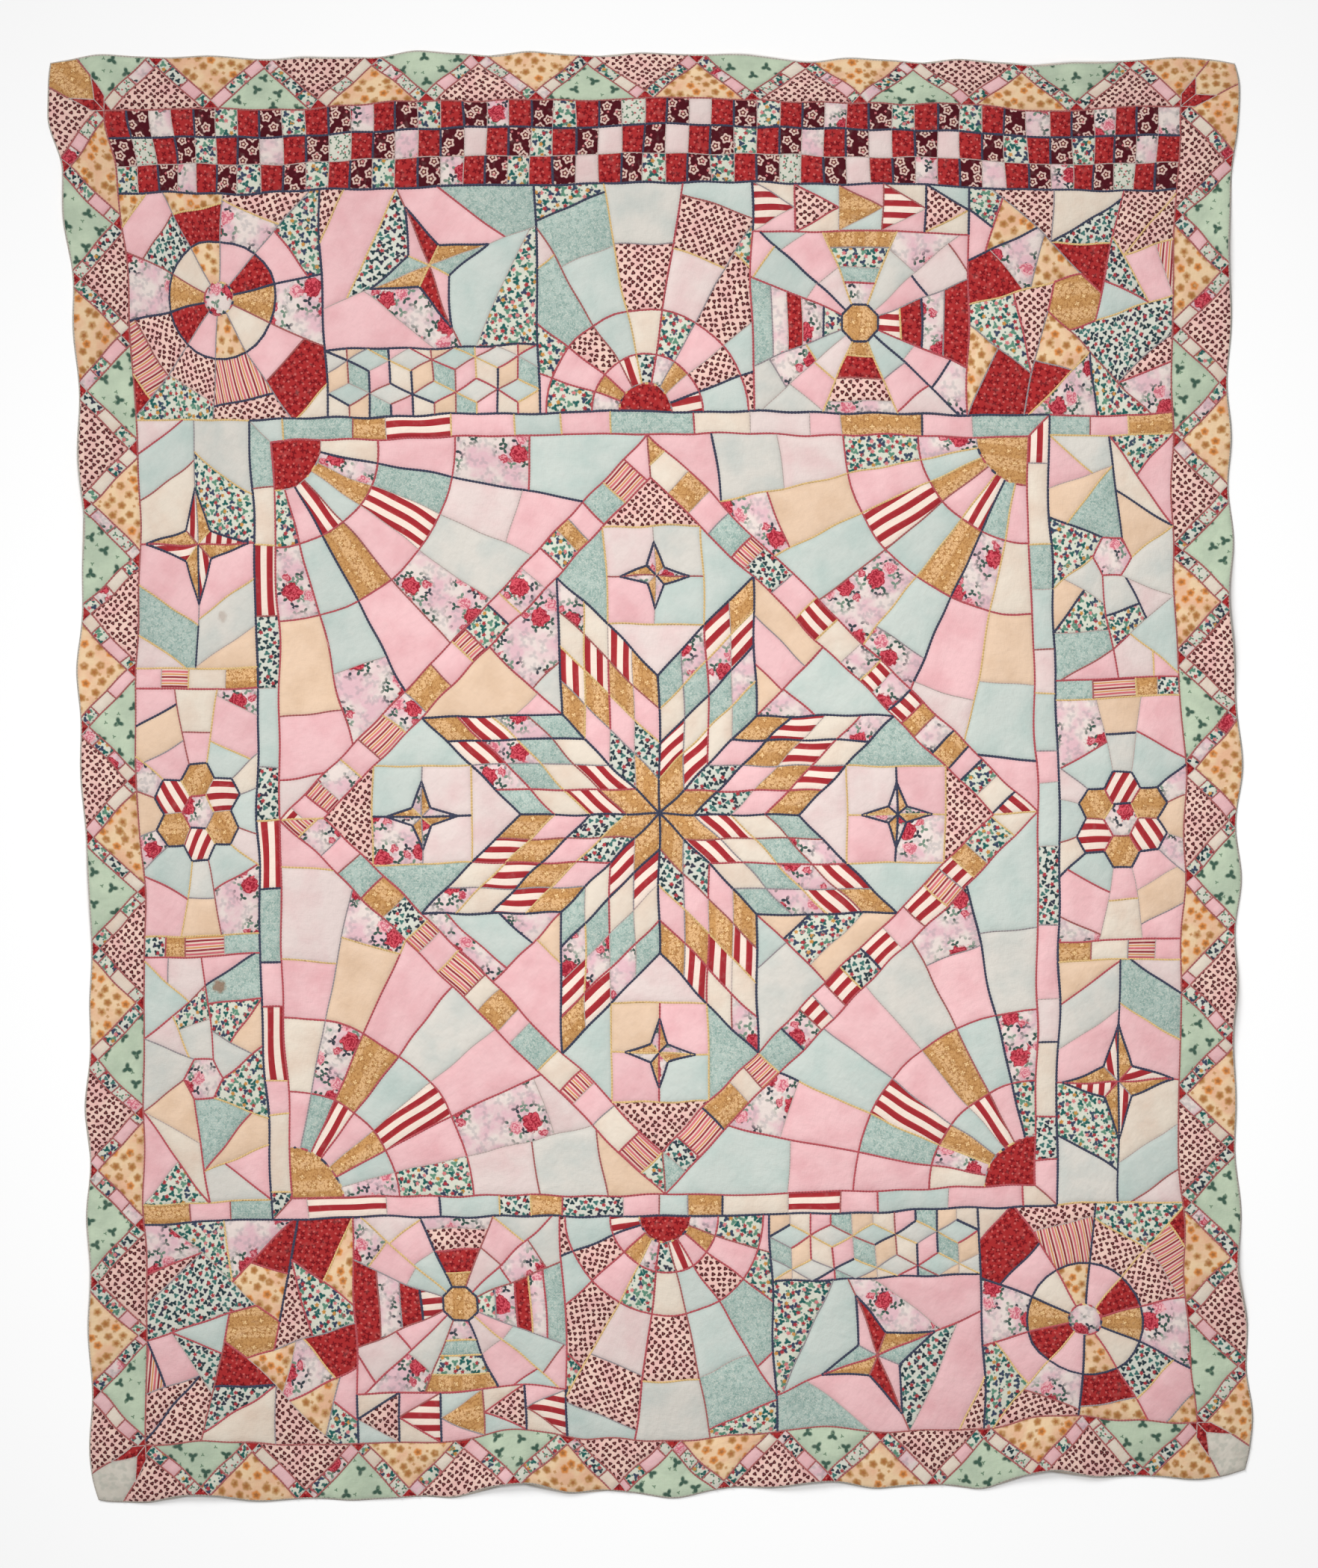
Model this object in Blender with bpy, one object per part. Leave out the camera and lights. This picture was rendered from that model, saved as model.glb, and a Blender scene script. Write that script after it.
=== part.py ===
"""A pieced coverlet lying flat: a patchwork field in five panels, a band of checks under the top
border, four border strips and four corner strips, each a thin sheet of cloth. Metres, +Z up, the
check band towards +Y, the origin under the middle of the cloth."""

import math

import bmesh
import bpy
from mathutils import Vector
from mathutils.geometry import delaunay_2d_cdt

# Cloth, in metres
CLOTH = 0.0025  # patch, seam allowances and foundation sewn together
GAP = 0.0003  # left between neighbouring pieces

# The pattern before it is pulled out of square: u runs across, v up, from the field's lower left
FIELD_W = 1.674
INNER_H = 2.134  # field and check band
BORDER = 0.088
STEPS_ACROSS = 40
STEPS_UP = 48
STEP_U = FIELD_W / STEPS_ACROSS
STEP_V = INNER_H / STEPS_UP
COLUMN_STEPS = 5  # side columns of the field
ROW_STEPS = 8  # top and bottom rows of the field
CHECK_STEPS = 3
CORNER_OUT = 0.046  # a corner strip's width along each outer edge
CORNER_IN = 0.022  # and along each inner edge

# Border triangles, which bulge a little past the hem
PITCHES_ACROSS = 10
PITCHES_UP = 12
SCALLOP = 0.0025

# Where the four outer corners lie, about the middle of the cloth
BOTTOM_LEFT = Vector((-0.891, -1.166))
BOTTOM_RIGHT = Vector((0.965, -1.118))
TOP_LEFT = Vector((-0.969, 1.155))
TOP_RIGHT = Vector((0.949, 1.156))

# How far each side draws in from the straight line between its corners:
# share of the way from its left or lower end, metres inward
SIDE_DRAW = {
    "left": [(0, 0), (0.05, -0.001), (0.15, 0.005), (0.26, 0.01), (0.34, 0.021), (0.42, 0.028),
             (0.5, 0.019), (0.57, 0.02), (0.65, 0.034), (0.74, 0.035), (0.86, 0.03), (0.92, 0.018),
             (0.96, 0.004), (1, 0)],
    "right": [(0, 0), (0.04, -0.005), (0.08, 0.003), (0.15, 0.011), (0.25, 0.019), (0.34, 0.017),
              (0.43, 0.01), (0.51, 0.007), (0.61, 0.019), (0.77, 0.02), (0.9, 0.016), (0.95, 0.004),
              (1, 0)],
    "bottom": [(0, 0), (0.09, 0.006), (0.2, -0.004), (0.3, -0.002), (0.37, 0.014), (0.43, 0),
               (0.5, -0.01), (0.57, 0), (0.63, 0.006), (0.69, -0.005), (0.76, -0.006), (0.83, 0.012),
               (0.9, 0.002), (0.96, -0.004), (1, 0)],
    "top": [(0, 0), (0.1, -0.002), (0.22, 0.002), (0.33, -0.008), (0.44, -0.005), (0.52, -0.007),
            (0.66, 0.003), (0.75, 0.004), (0.85, 0.01), (0.93, 0.001), (1, 0)],
}
DRAW_REACH = 0.3  # a side's draw is felt in full across the border and has died out this far in
SCALLOP_REACH = 0.17  # how far in the scallops are felt

# How far the top border is squeezed and the check band under it moved up:
# share of the way across from the left, metres
BAND_CLIMB = [(0, 0.003), (0.12, 0.008), (0.26, 0.015), (0.7, 0.016), (0.9, 0.011), (1, 0.009)]
CLIMB_REACH = 0.45  # how far below the check band the move has died out

# The tips of the outer corners are blunt
TIP_DRAW = 0.0055
TIP_REACH = 0.05

# Slow wander of the seams inside the cloth
DRIFT = 0.005
DRIFT_REACH = 0.3

# Where the hem stands off the floor: side, share of the way along, half length, height, reach inward
HEM_RIPPLES = [
    ("bottom", 0.09, 0.11, 0.006, 0.15),
    ("bottom", 0.37, 0.12, 0.009, 0.2),
    ("bottom", 0.62, 0.1, 0.006, 0.14),
    ("bottom", 0.83, 0.12, 0.008, 0.18),
    ("left", 0.16, 0.12, 0.005, 0.13),
    ("left", 0.42, 0.15, 0.007, 0.16),
    ("left", 0.7, 0.14, 0.006, 0.15),
    ("left", 0.9, 0.1, 0.005, 0.12),
    ("right", 0.14, 0.1, 0.006, 0.13),
    ("right", 0.33, 0.14, 0.006, 0.15),
    ("right", 0.6, 0.15, 0.007, 0.16),
    ("right", 0.86, 0.12, 0.005, 0.13),
    ("top", 0.22, 0.12, 0.004, 0.1),
    ("top", 0.6, 0.13, 0.004, 0.11),
    ("top", 0.85, 0.12, 0.006, 0.13),
]

# Soft ridges in the upper face: u, v of each end, height, half width
RIDGES = [
    (0.12, 0.5, 0.42, 1.15, 0.0018, 0.06),
    (1.3, 0.35, 1.52, 0.95, 0.0016, 0.055),
    (0.55, 1.62, 1.15, 1.78, 0.0016, 0.05),
    (0.4, 0.12, 0.9, 0.3, 0.0018, 0.055),
    (1.02, 0.75, 1.36, 1.3, 0.0015, 0.06),
    (0.2, 1.35, 0.36, 1.88, 0.0016, 0.05),
]


def ease(x):
    """Smooth step from 0 to 1."""
    x = min(max(x, 0.0), 1.0)
    return x * x * (3 - 2 * x)


def fade(distance, reach):
    """1 at no distance, falling to 0 at the reach with no kink there."""
    return max(0.0, 1 - distance / reach) ** 2


def felt(distance):
    """How much of a side's draw is left at this distance from it."""
    return 1 - ease((distance - BORDER) / (DRAW_REACH - BORDER))


def value_at(rows, share):
    """A table's value at this share of the way along a side."""
    for (start, low), (end, high) in zip(rows, rows[1:]):
        if share <= end:
            return low + (high - low) * ease((share - start) / (end - start))
    return rows[-1][1]


def climb(across, depth):
    """How far a point at this depth below the top edge moves up with the check band."""
    below = (depth - BORDER - CHECK_STEPS * STEP_V) / CLIMB_REACH
    return value_at(BAND_CLIMB, across) * ease(depth / BORDER) * (1 - ease(below))


def sides_at(u, v):
    """Each side's name with the distance from it, the share of the way along it and the way inward."""
    across = (u + BORDER) / (FIELD_W + 2 * BORDER)
    up = (v + BORDER) / (INNER_H + 2 * BORDER)
    return [
        ("left", u + BORDER, up, Vector((1, 0)), math.cos(2 * math.pi * PITCHES_UP * v / INNER_H)),
        ("right", FIELD_W + BORDER - u, up, Vector((-1, 0)),
         math.cos(2 * math.pi * PITCHES_UP * v / INNER_H)),
        ("bottom", v + BORDER, across, Vector((0, 1)),
         math.cos(2 * math.pi * PITCHES_ACROSS * u / FIELD_W)),
        ("top", INNER_H + BORDER - v, across, Vector((0, -1)),
         math.cos(2 * math.pi * PITCHES_ACROSS * u / FIELD_W)),
    ]


def pulled(u, v):
    """Where a pattern point lies in the cloth pulled out of square, before it is centred."""
    across = (u + BORDER) / (FIELD_W + 2 * BORDER)
    up = (v + BORDER) / (INNER_H + 2 * BORDER)
    low = BOTTOM_LEFT.lerp(BOTTOM_RIGHT, across)
    high = TOP_LEFT.lerp(TOP_RIGHT, across)
    place = low.lerp(high, up)
    inside = 1.0
    for side, distance, share, inward, wave in sides_at(u, v):
        place += inward * value_at(SIDE_DRAW[side], share) * felt(distance)
        place -= inward * SCALLOP * wave * fade(distance, SCALLOP_REACH)
        inside *= 1 - fade(distance, DRIFT_REACH)
    place.x += DRIFT * inside * math.sin(5.1 * v + 1.7 * u + 0.4)
    place.y += DRIFT * inside * math.sin(4.3 * u - 1.9 * v + 1.1)
    place.y += climb(across, INNER_H + BORDER - v)
    tip = min(across, 1 - across) * (FIELD_W + 2 * BORDER) + min(up, 1 - up) * (INNER_H + 2 * BORDER)
    blunt = TIP_DRAW * fade(tip, TIP_REACH)
    place.x += math.copysign(blunt, 0.5 - across)
    place.y += math.copysign(blunt, 0.5 - up)
    return place


def lift(u, v):
    """How far the underside stands off the floor."""
    height = 0.0
    for side, distance, share, _, _ in sides_at(u, v):
        length = INNER_H if side in ("left", "right") else FIELD_W
        for name, at, half, rise, reach in HEM_RIPPLES:
            along = abs(share - at) * length / half
            if name == side and along < 1:
                height += rise * math.cos(along * math.pi / 2) ** 2 * fade(distance, reach)
    return height


def ridge_height(u, v):
    """How far the soft ridges raise the upper face."""
    height = 0.0
    for u0, v0, u1, v1, rise, half in RIDGES:
        start = Vector((u0, v0))
        run = Vector((u1, v1)) - start
        share = min(max((Vector((u, v)) - start).dot(run) / run.length_squared, 0.0), 1.0)
        off = (Vector((u, v)) - start - run * share).length / half
        height += rise * (1 - ease(off)) * math.sin(math.pi * (0.1 + 0.8 * share))
    return height


def breaks(start, end):
    """The points from start up to end, not counting it, that fall on the pattern's steps."""
    du, dv = end[0] - start[0], end[1] - start[1]
    if abs(dv) < 1e-9:
        step, low, high = STEP_U, start[0], end[0]
    elif abs(du) < 1e-9:
        step, low, high = STEP_V, start[1], end[1]
    else:
        return [(start[0] + du * i / 3, start[1] + dv * i / 3) for i in range(3)]
    inner = [
        step * i
        for i in range(-4, STEPS_UP + 4)
        if min(low, high) + 0.2 * step < step * i < max(low, high) - 0.2 * step
    ]
    if low > high:
        inner.reverse()
    if abs(dv) < 1e-9:
        return [start] + [(u, start[1]) for u in inner]
    return [start] + [(start[0], v) for v in inner]


def inset(loop, distance):
    """An anticlockwise loop drawn in on every side."""
    moved = []
    for before, here, after in zip([loop[-1]] + loop[:-1], loop, loop[1:] + [loop[0]]):
        first = (Vector(here) - Vector(before)).normalized()
        second = (Vector(after) - Vector(here)).normalized()
        inward = Vector((-first.y - second.y, first.x + second.x)).normalized()
        share = inward.dot(Vector((-first.y, first.x)))
        moved.append(Vector(here) + inward * distance / share)
    return moved


def inner_points(loop):
    """Points on every second step well inside the loop."""
    us = [p.x for p in loop]
    vs = [p.y for p in loop]
    found = []
    rows = range(int((max(vs) - min(vs)) / (2 * STEP_V)) + 1)
    for j in rows:
        for i in range(int((max(us) - min(us)) / (2 * STEP_U)) + 1):
            point = Vector((min(us) + (2 * i + 1) * STEP_U, min(vs) + (2 * j + 1) * STEP_V))
            nearest = min(
                (point - a - (b - a) * min(max((point - a).dot(b - a) / (b - a).length_squared, 0), 1)).length
                for a, b in zip(loop, loop[1:] + [loop[0]])
            )
            crossings = sum(
                (a.y > point.y) != (b.y > point.y)
                and point.x < a.x + (point.y - a.y) * (b.x - a.x) / (b.y - a.y)
                for a, b in zip(loop, loop[1:] + [loop[0]])
            )
            if crossings % 2 and nearest > 0.6 * STEP_U:
                found.append(point)
    return found


def cloth_material(name, colour, roughness=0.85):
    material = bpy.data.materials.new(name)
    material.use_nodes = True
    shader = material.node_tree.nodes["Principled BSDF"]
    shader.inputs["Base Color"].default_value = (*colour, 1)
    shader.inputs["Roughness"].default_value = roughness
    shader.inputs["Metallic"].default_value = 0
    material.diffuse_color = (*colour, 1)
    return material


def panel(name, corners, colour):
    """One piece of cloth: its outline in the pattern, anticlockwise, laid down and given its thickness."""
    outline = []
    for start, end in zip(corners, corners[1:] + [corners[0]]):
        outline += breaks(start, end)
    loop = inset(outline, GAP / 2)
    count = len(loop)
    edges = [(i, (i + 1) % count) for i in range(count)]
    points, _, faces, *_ = delaunay_2d_cdt(loop + inner_points(loop), edges, [], 1, 1e-7)
    bm = bmesh.new()
    under = []
    for u, v in points:
        place = pulled(u, v) - MIDDLE
        under.append(bm.verts.new((place.x, place.y, lift(u, v))))
    for face in faces:
        bm.faces.new([under[i] for i in reversed(face)])
    raised = bmesh.ops.extrude_face_region(bm, geom=bm.faces[:])["geom"]
    rises = {
        (round(vert.co.x, 5), round(vert.co.y, 5)): CLOTH + ridge_height(*point)
        for vert, point in zip(under, points)
    }
    for vert in raised:
        if isinstance(vert, bmesh.types.BMVert):
            vert.co.z += rises[round(vert.co.x, 5), round(vert.co.y, 5)]
    bmesh.ops.recalc_face_normals(bm, faces=bm.faces)
    mesh = bpy.data.meshes.new(name)
    bm.to_mesh(mesh)
    bm.free()
    mesh.materials.append(cloth_material(name, colour))
    thing = bpy.data.objects.new(name, mesh)
    bpy.context.collection.objects.link(thing)
    return thing


def rectangle(left, low, right, high):
    return [(left, low), (right, low), (right, high), (left, high)]


def hem_points():
    """The outer edge in the pattern, for finding the middle of the cloth."""
    corners = rectangle(-BORDER, -BORDER, FIELD_W + BORDER, INNER_H + BORDER)
    found = []
    for start, end in zip(corners, corners[1:] + [corners[0]]):
        found += breaks(start, end)
    return found


def middle_of_cloth():
    hem = [pulled(u, v) for u, v in hem_points()]
    xs = [p.x for p in hem]
    ys = [p.y for p in hem]
    return Vector(((min(xs) + max(xs)) / 2, (min(ys) + max(ys)) / 2))


def field_panels():
    left = COLUMN_STEPS * STEP_U
    right = FIELD_W - left
    low = ROW_STEPS * STEP_V
    top = (STEPS_UP - CHECK_STEPS) * STEP_V
    high = top - ROW_STEPS * STEP_V
    panel("field_centre", rectangle(left, low, right, high), (0.83, 0.68, 0.64))
    panel("field_column_left", rectangle(0, low, left, high), (0.66, 0.73, 0.7))
    panel("field_column_right", rectangle(right, low, FIELD_W, high), (0.66, 0.73, 0.7))
    panel("field_row_bottom", rectangle(0, 0, FIELD_W, low), (0.73, 0.52, 0.5))
    panel("field_row_top", rectangle(0, high, FIELD_W, top), (0.73, 0.52, 0.5))
    panel("check_band", rectangle(0, top, FIELD_W, INNER_H), (0.42, 0.1, 0.12))


def borders():
    """Each strip meets the corner strips on slanting ends."""
    left, right, low, high = -BORDER, FIELD_W + BORDER, -BORDER, INNER_H + BORDER
    tone = (0.72, 0.58, 0.45)
    panel("border_bottom", [
        (0, -CORNER_IN), (left + CORNER_OUT, low), (right - CORNER_OUT, low),
        (FIELD_W, -CORNER_IN), (FIELD_W, 0), (0, 0),
    ], tone)
    panel("border_top", [
        (0, INNER_H), (FIELD_W, INNER_H), (FIELD_W, INNER_H + CORNER_IN),
        (right - CORNER_OUT, high), (left + CORNER_OUT, high), (0, INNER_H + CORNER_IN),
    ], tone)
    panel("border_left", [
        (0, 0), (0, INNER_H), (-CORNER_IN, INNER_H),
        (left, high - CORNER_OUT), (left, low + CORNER_OUT), (-CORNER_IN, 0),
    ], tone)
    panel("border_right", [
        (FIELD_W, 0), (FIELD_W + CORNER_IN, 0), (right, low + CORNER_OUT),
        (right, high - CORNER_OUT), (FIELD_W + CORNER_IN, INNER_H), (FIELD_W, INNER_H),
    ], tone)


def corner_strip(name, inner, across, up, colour):
    """A diagonal strip from a corner of the field to a corner of the coverlet. across and up are 1
    or -1, the way out."""
    u, v = inner
    out_u, out_v = u + across * BORDER, v + up * BORDER
    corners = [
        (u, v), (u + across * CORNER_IN, v), (out_u, out_v - up * CORNER_OUT),
        (out_u, out_v), (out_u - across * CORNER_OUT, out_v), (u, v + up * CORNER_IN),
    ]
    if across * up < 0:
        corners.reverse()
    panel(name, corners, colour)


def corner_strips():
    ochre, orange, pale = (0.68, 0.48, 0.2), (0.76, 0.55, 0.3), (0.7, 0.7, 0.66)
    corner_strip("corner_top_left", (0, INNER_H), -1, 1, ochre)
    corner_strip("corner_top_right", (FIELD_W, INNER_H), 1, 1, orange)
    corner_strip("corner_bottom_left", (0, 0), -1, -1, pale)
    corner_strip("corner_bottom_right", (FIELD_W, 0), 1, -1, pale)


for old in list(bpy.data.objects):
    bpy.data.objects.remove(old, do_unlink=True)
MIDDLE = middle_of_cloth()
field_panels()
borders()
corner_strips()
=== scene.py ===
"""The looks of a pieced coverlet that lies flat. Every patch is a puffed piece of printed cotton with
raised thread along its seams, worked out in a flat pattern (u across, v up, metres, as complex numbers)
and then laid into the outline that the frame has. The cloth is made as sheets that meet along seams."""

import cmath
import math
import random

import bpy
import numpy as np
from mathutils.geometry import delaunay_2d_cdt
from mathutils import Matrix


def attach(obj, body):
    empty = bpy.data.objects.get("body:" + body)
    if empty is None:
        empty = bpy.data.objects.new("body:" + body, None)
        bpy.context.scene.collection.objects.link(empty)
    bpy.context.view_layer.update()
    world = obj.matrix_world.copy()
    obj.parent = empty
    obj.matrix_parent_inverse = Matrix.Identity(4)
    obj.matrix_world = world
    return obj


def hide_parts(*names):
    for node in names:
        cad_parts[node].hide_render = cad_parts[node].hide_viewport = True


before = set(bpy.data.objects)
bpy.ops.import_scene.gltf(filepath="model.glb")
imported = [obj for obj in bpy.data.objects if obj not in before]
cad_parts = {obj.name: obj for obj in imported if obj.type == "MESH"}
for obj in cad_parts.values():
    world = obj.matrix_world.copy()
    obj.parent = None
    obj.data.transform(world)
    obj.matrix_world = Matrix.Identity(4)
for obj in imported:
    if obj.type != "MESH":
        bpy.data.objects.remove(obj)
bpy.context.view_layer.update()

# The pattern, with the frame's own sizes
FIELD_W = 1.674
INNER_H = 2.134
BORDER = 0.088
STEPS_ACROSS = 40
STEPS_UP = 48
STEP_U = FIELD_W / STEPS_ACROSS
STEP_V = INNER_H / STEPS_UP
COLUMN_STEPS = 5
ROW_STEPS = 8
CHECK_STEPS = 3
CORNER_OUT = 0.046  # along each hem from the corner to a corner strip's side
CORNER_IN = 0.022  # the same along each side of the field
SPIKE = 0.5  # share of a corner strip's side beside each red spike
PITCHES_ACROSS = 10
PITCHES_UP = 12
STRIP_HALF = 0.0096  # half the width of the strips between the border's triangles
SASH = 0.034  # width of the frame round the star
CHECK_COLUMNS = 48
WEDGE_STEPS = 3  # points along a wedge's arc
CLOTH_W = FIELD_W + 2 * BORDER
CLOTH_H = INNER_H + 2 * BORDER
SCALLOP = 0.0025  # half the depth of the hem's scallops

# How the pattern is pulled out of square, also the frame's: its corners, then how far each side
# is drawn in at a share of the way along it
BOTTOM_LEFT, BOTTOM_RIGHT = (-0.891, -1.166), (0.965, -1.118)
TOP_LEFT, TOP_RIGHT = (-0.969, 1.155), (0.949, 1.156)
SIDE_DRAW = {
    "left": [(0, 0), (0.05, -0.001), (0.15, 0.005), (0.26, 0.01), (0.34, 0.021), (0.42, 0.028),
             (0.5, 0.019), (0.57, 0.02), (0.65, 0.034), (0.74, 0.035), (0.86, 0.03), (0.92, 0.018),
             (0.96, 0.004), (1, 0)],
    "right": [(0, 0), (0.04, -0.005), (0.08, 0.003), (0.15, 0.011), (0.25, 0.019), (0.34, 0.017),
              (0.43, 0.01), (0.51, 0.007), (0.61, 0.019), (0.77, 0.02), (0.9, 0.016), (0.95, 0.004),
              (1, 0)],
    "bottom": [(0, 0), (0.09, 0.006), (0.2, -0.004), (0.3, -0.002), (0.37, 0.014), (0.43, 0),
               (0.5, -0.01), (0.57, 0), (0.63, 0.006), (0.69, -0.005), (0.76, -0.006), (0.83, 0.012),
               (0.9, 0.002), (0.96, -0.004), (1, 0)],
    "top": [(0, 0), (0.1, -0.002), (0.22, 0.002), (0.33, -0.008), (0.44, -0.005), (0.52, -0.007),
            (0.66, 0.003), (0.75, 0.004), (0.85, 0.01), (0.93, 0.001), (1, 0)],
}
DRAW_REACH = 0.3  # how far in the sides' draw is felt
SCALLOP_REACH = 0.17
# How far up the band of checks is pulled along its length
BAND_CLIMB = [(0, 0.003), (0.12, 0.008), (0.26, 0.015), (0.7, 0.016), (0.9, 0.011), (1, 0.009)]
CLIMB_REACH = 0.45
TIP_DRAW = 0.0055  # how far each corner of the cloth is blunted
TIP_REACH = 0.05
DRIFT = 0.005  # how far the middle wanders
DRIFT_REACH = 0.3
# Ripples of the hem: place along the side, half the length, rise, reach inwards
HEM_RIPPLES = {
    "bottom": [(0.09, 0.11, 0.006, 0.15), (0.37, 0.12, 0.009, 0.2), (0.62, 0.1, 0.006, 0.14),
               (0.83, 0.12, 0.008, 0.18)],
    "left": [(0.16, 0.12, 0.005, 0.13), (0.42, 0.15, 0.007, 0.16), (0.7, 0.14, 0.006, 0.15),
             (0.9, 0.1, 0.005, 0.12)],
    "right": [(0.14, 0.1, 0.006, 0.13), (0.33, 0.14, 0.006, 0.15), (0.6, 0.15, 0.007, 0.16),
              (0.86, 0.12, 0.005, 0.13)],
    "top": [(0.22, 0.12, 0.004, 0.1), (0.6, 0.13, 0.004, 0.11), (0.85, 0.12, 0.006, 0.13)],
}
# Soft ridges in the sheet: from (u, v) to (u, v), rise, half the width
RIDGES = [
    (0.12, 0.5, 0.42, 1.15, 0.0018, 0.06), (1.3, 0.35, 1.52, 0.95, 0.0016, 0.055),
    (0.55, 1.62, 1.15, 1.78, 0.0016, 0.05), (0.4, 0.12, 0.9, 0.3, 0.0018, 0.055),
    (1.02, 0.75, 1.36, 1.3, 0.0015, 0.06), (0.2, 1.35, 0.36, 1.88, 0.0016, 0.05),
]

# Sewing
SEAM_LEVEL = 0.002  # the upper face along a seam, over the underside
PUFF = 0.0015  # a patch's middle over its seams
PUFF_REACH = 0.012
PUCKER = 0.00034
PUCKER_REACH = 0.005
PUCKER_START = 0.0012
PUCKER_LENGTHS = (0.009, 0.017)
STITCH = 0.005
STITCH_DIP = 0.62  # height of a stitch's ends over its middle
STITCH_WIDE, STITCH_THIN = 1.18, 0.84  # half width where stitches meet and at their middles, over the usual
JUNCTION = 0.0007  # height of the thread where seams meet
# Thread: half its width, its height, its colour
THREADS = {
    "navy": (0.0018, 0.0012, (0.030, 0.036, 0.075)),
    "red": (0.0015, 0.001, (0.44, 0.070, 0.085)),
    "gold": (0.0014, 0.001, (0.68, 0.46, 0.19)),
    "grey": (0.0011, 0.0008, (0.30, 0.26, 0.27)),
    "rust": (0.0013, 0.0009, (0.36, 0.10, 0.095)),
    "plain": (0.0007, 0.0001, (0.45, 0.36, 0.33)),
    "hem": (0.0016, -0.0003, (0.42, 0.38, 0.33)),
}
# Mesh spacing
RIM_STEP = STITCH / 2
ROW_GAP = 0.0036  # from a thread's edge to the first row of points beside it
ROW_STEP = 0.005
LATTICE = 0.0078
MITRE_CLEAR = 0.6  # steps along a thread's edge left free beside its mitred ends
STRAIGHT = 0.15  # bends under this angle's sine aren't mitred
EDGE_CLEAR = 0.78  # share of a thread's half width that points keep clear of it
THREAD_SHARE = 0.92  # faces with middles nearer than this share of it are thread
MESH_NEAR = 1e-8
TILE_COLUMNS = 4
TILE_ROWS = 5

DICE = random.Random(20)


# Laying the pattern out


def ease(x):
    """Rises smoothly from 0 to 1, and stays flat outside."""
    x = np.clip(x, 0.0, 1.0)
    return x * x * (3 - 2 * x)


def fade(distance, reach):
    """From 1 at the hem down to 0 at its reach."""
    return np.clip(1 - distance / reach, 0.0, None) ** 2


def felt(distance):
    """How much of a side's draw is felt at this distance from the hem."""
    return 1 - ease((distance - BORDER) / (DRAW_REACH - BORDER))


def value_at(rows, share):
    """A table's value at this share of the way along a side."""
    rows = np.array(rows, float)
    low = np.clip(np.searchsorted(rows[:, 0], share, side="left") - 1, 0, len(rows) - 2)
    part = (share - rows[low, 0]) / (rows[low + 1, 0] - rows[low, 0])
    return rows[low, 1] + (rows[low + 1, 1] - rows[low, 1]) * ease(part)


def climb(across, depth):
    """How far a point at this depth below the top edge moves up with the check band."""
    below = (depth - BORDER - CHECK_STEPS * STEP_V) / CLIMB_REACH
    return value_at(BAND_CLIMB, across) * ease(depth / BORDER) * (1 - ease(below))


def shares_at(u, v):
    """How far across and up the cloth a point is, from 0 to 1."""
    return (u + BORDER) / CLOTH_W, (v + BORDER) / CLOTH_H


def sides_at(u, v):
    """Each side's name, the distance from it, the share of the way along it, the way in, its scallop."""
    across, up = shares_at(u, v)
    wave_up = np.cos(2 * math.pi * PITCHES_UP * v / INNER_H)
    wave_across = np.cos(2 * math.pi * PITCHES_ACROSS * u / FIELD_W)
    return [
        ("left", u + BORDER, up, (1, 0), wave_up),
        ("right", FIELD_W + BORDER - u, up, (-1, 0), wave_up),
        ("bottom", v + BORDER, across, (0, 1), wave_across),
        ("top", INNER_H + BORDER - v, across, (0, -1), wave_across),
    ]


def pulled(u, v):
    """Where a point of the pattern lies once the cloth is pulled out of square."""
    across, up = shares_at(u, v)
    x, y = (
        (BOTTOM_LEFT[i] * (1 - across) + BOTTOM_RIGHT[i] * across) * (1 - up)
        + (TOP_LEFT[i] * (1 - across) + TOP_RIGHT[i] * across) * up
        for i in (0, 1)
    )
    inside = np.ones_like(x)
    for side, distance, share, way, wave in sides_at(u, v):
        draw = value_at(SIDE_DRAW[side], share) * felt(distance)
        draw = draw - SCALLOP * wave * fade(distance, SCALLOP_REACH)
        x = x + way[0] * draw
        y = y + way[1] * draw
        inside = inside * (1 - fade(distance, DRIFT_REACH))
    x = x + DRIFT * inside * np.sin(5.1 * v + 1.7 * u + 0.4)
    y = y + DRIFT * inside * np.sin(4.3 * u - 1.9 * v + 1.1)
    y = y + climb(across, INNER_H + BORDER - v)
    tip = (0.5 - abs(across - 0.5)) * CLOTH_W + (0.5 - abs(up - 0.5)) * CLOTH_H
    blunt = TIP_DRAW * fade(tip, TIP_REACH)
    return x + np.copysign(blunt, 0.5 - across), y + np.copysign(blunt, 0.5 - up)


def lift(u, v):
    """How high the hem's ripples raise a point."""
    height = np.zeros_like(u)
    for side, distance, share, _, _ in sides_at(u, v):
        length = INNER_H if side in ("left", "right") else FIELD_W
        for at, half, rise, reach in HEM_RIPPLES[side]:
            along = np.clip(np.abs(share - at) * length / half, 0, 1)
            height = height + rise * np.cos(along * math.pi / 2) ** 2 * fade(distance, reach)
    return height


def ridge_height(u, v):
    """How high the soft ridges raise a point."""
    height = np.zeros_like(u)
    point = u + 1j * v
    for u0, v0, u1, v1, rise, half in RIDGES:
        run = complex(u1 - u0, v1 - v0)
        share = np.clip(((point - complex(u0, v0)) * run.conjugate()).real / abs(run) ** 2, 0, 1)
        off = np.abs(point - complex(u0, v0) - run * share) / half
        height = height + rise * (1 - ease(off)) * np.sin(math.pi * (0.1 + 0.8 * share))
    return height


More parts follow.
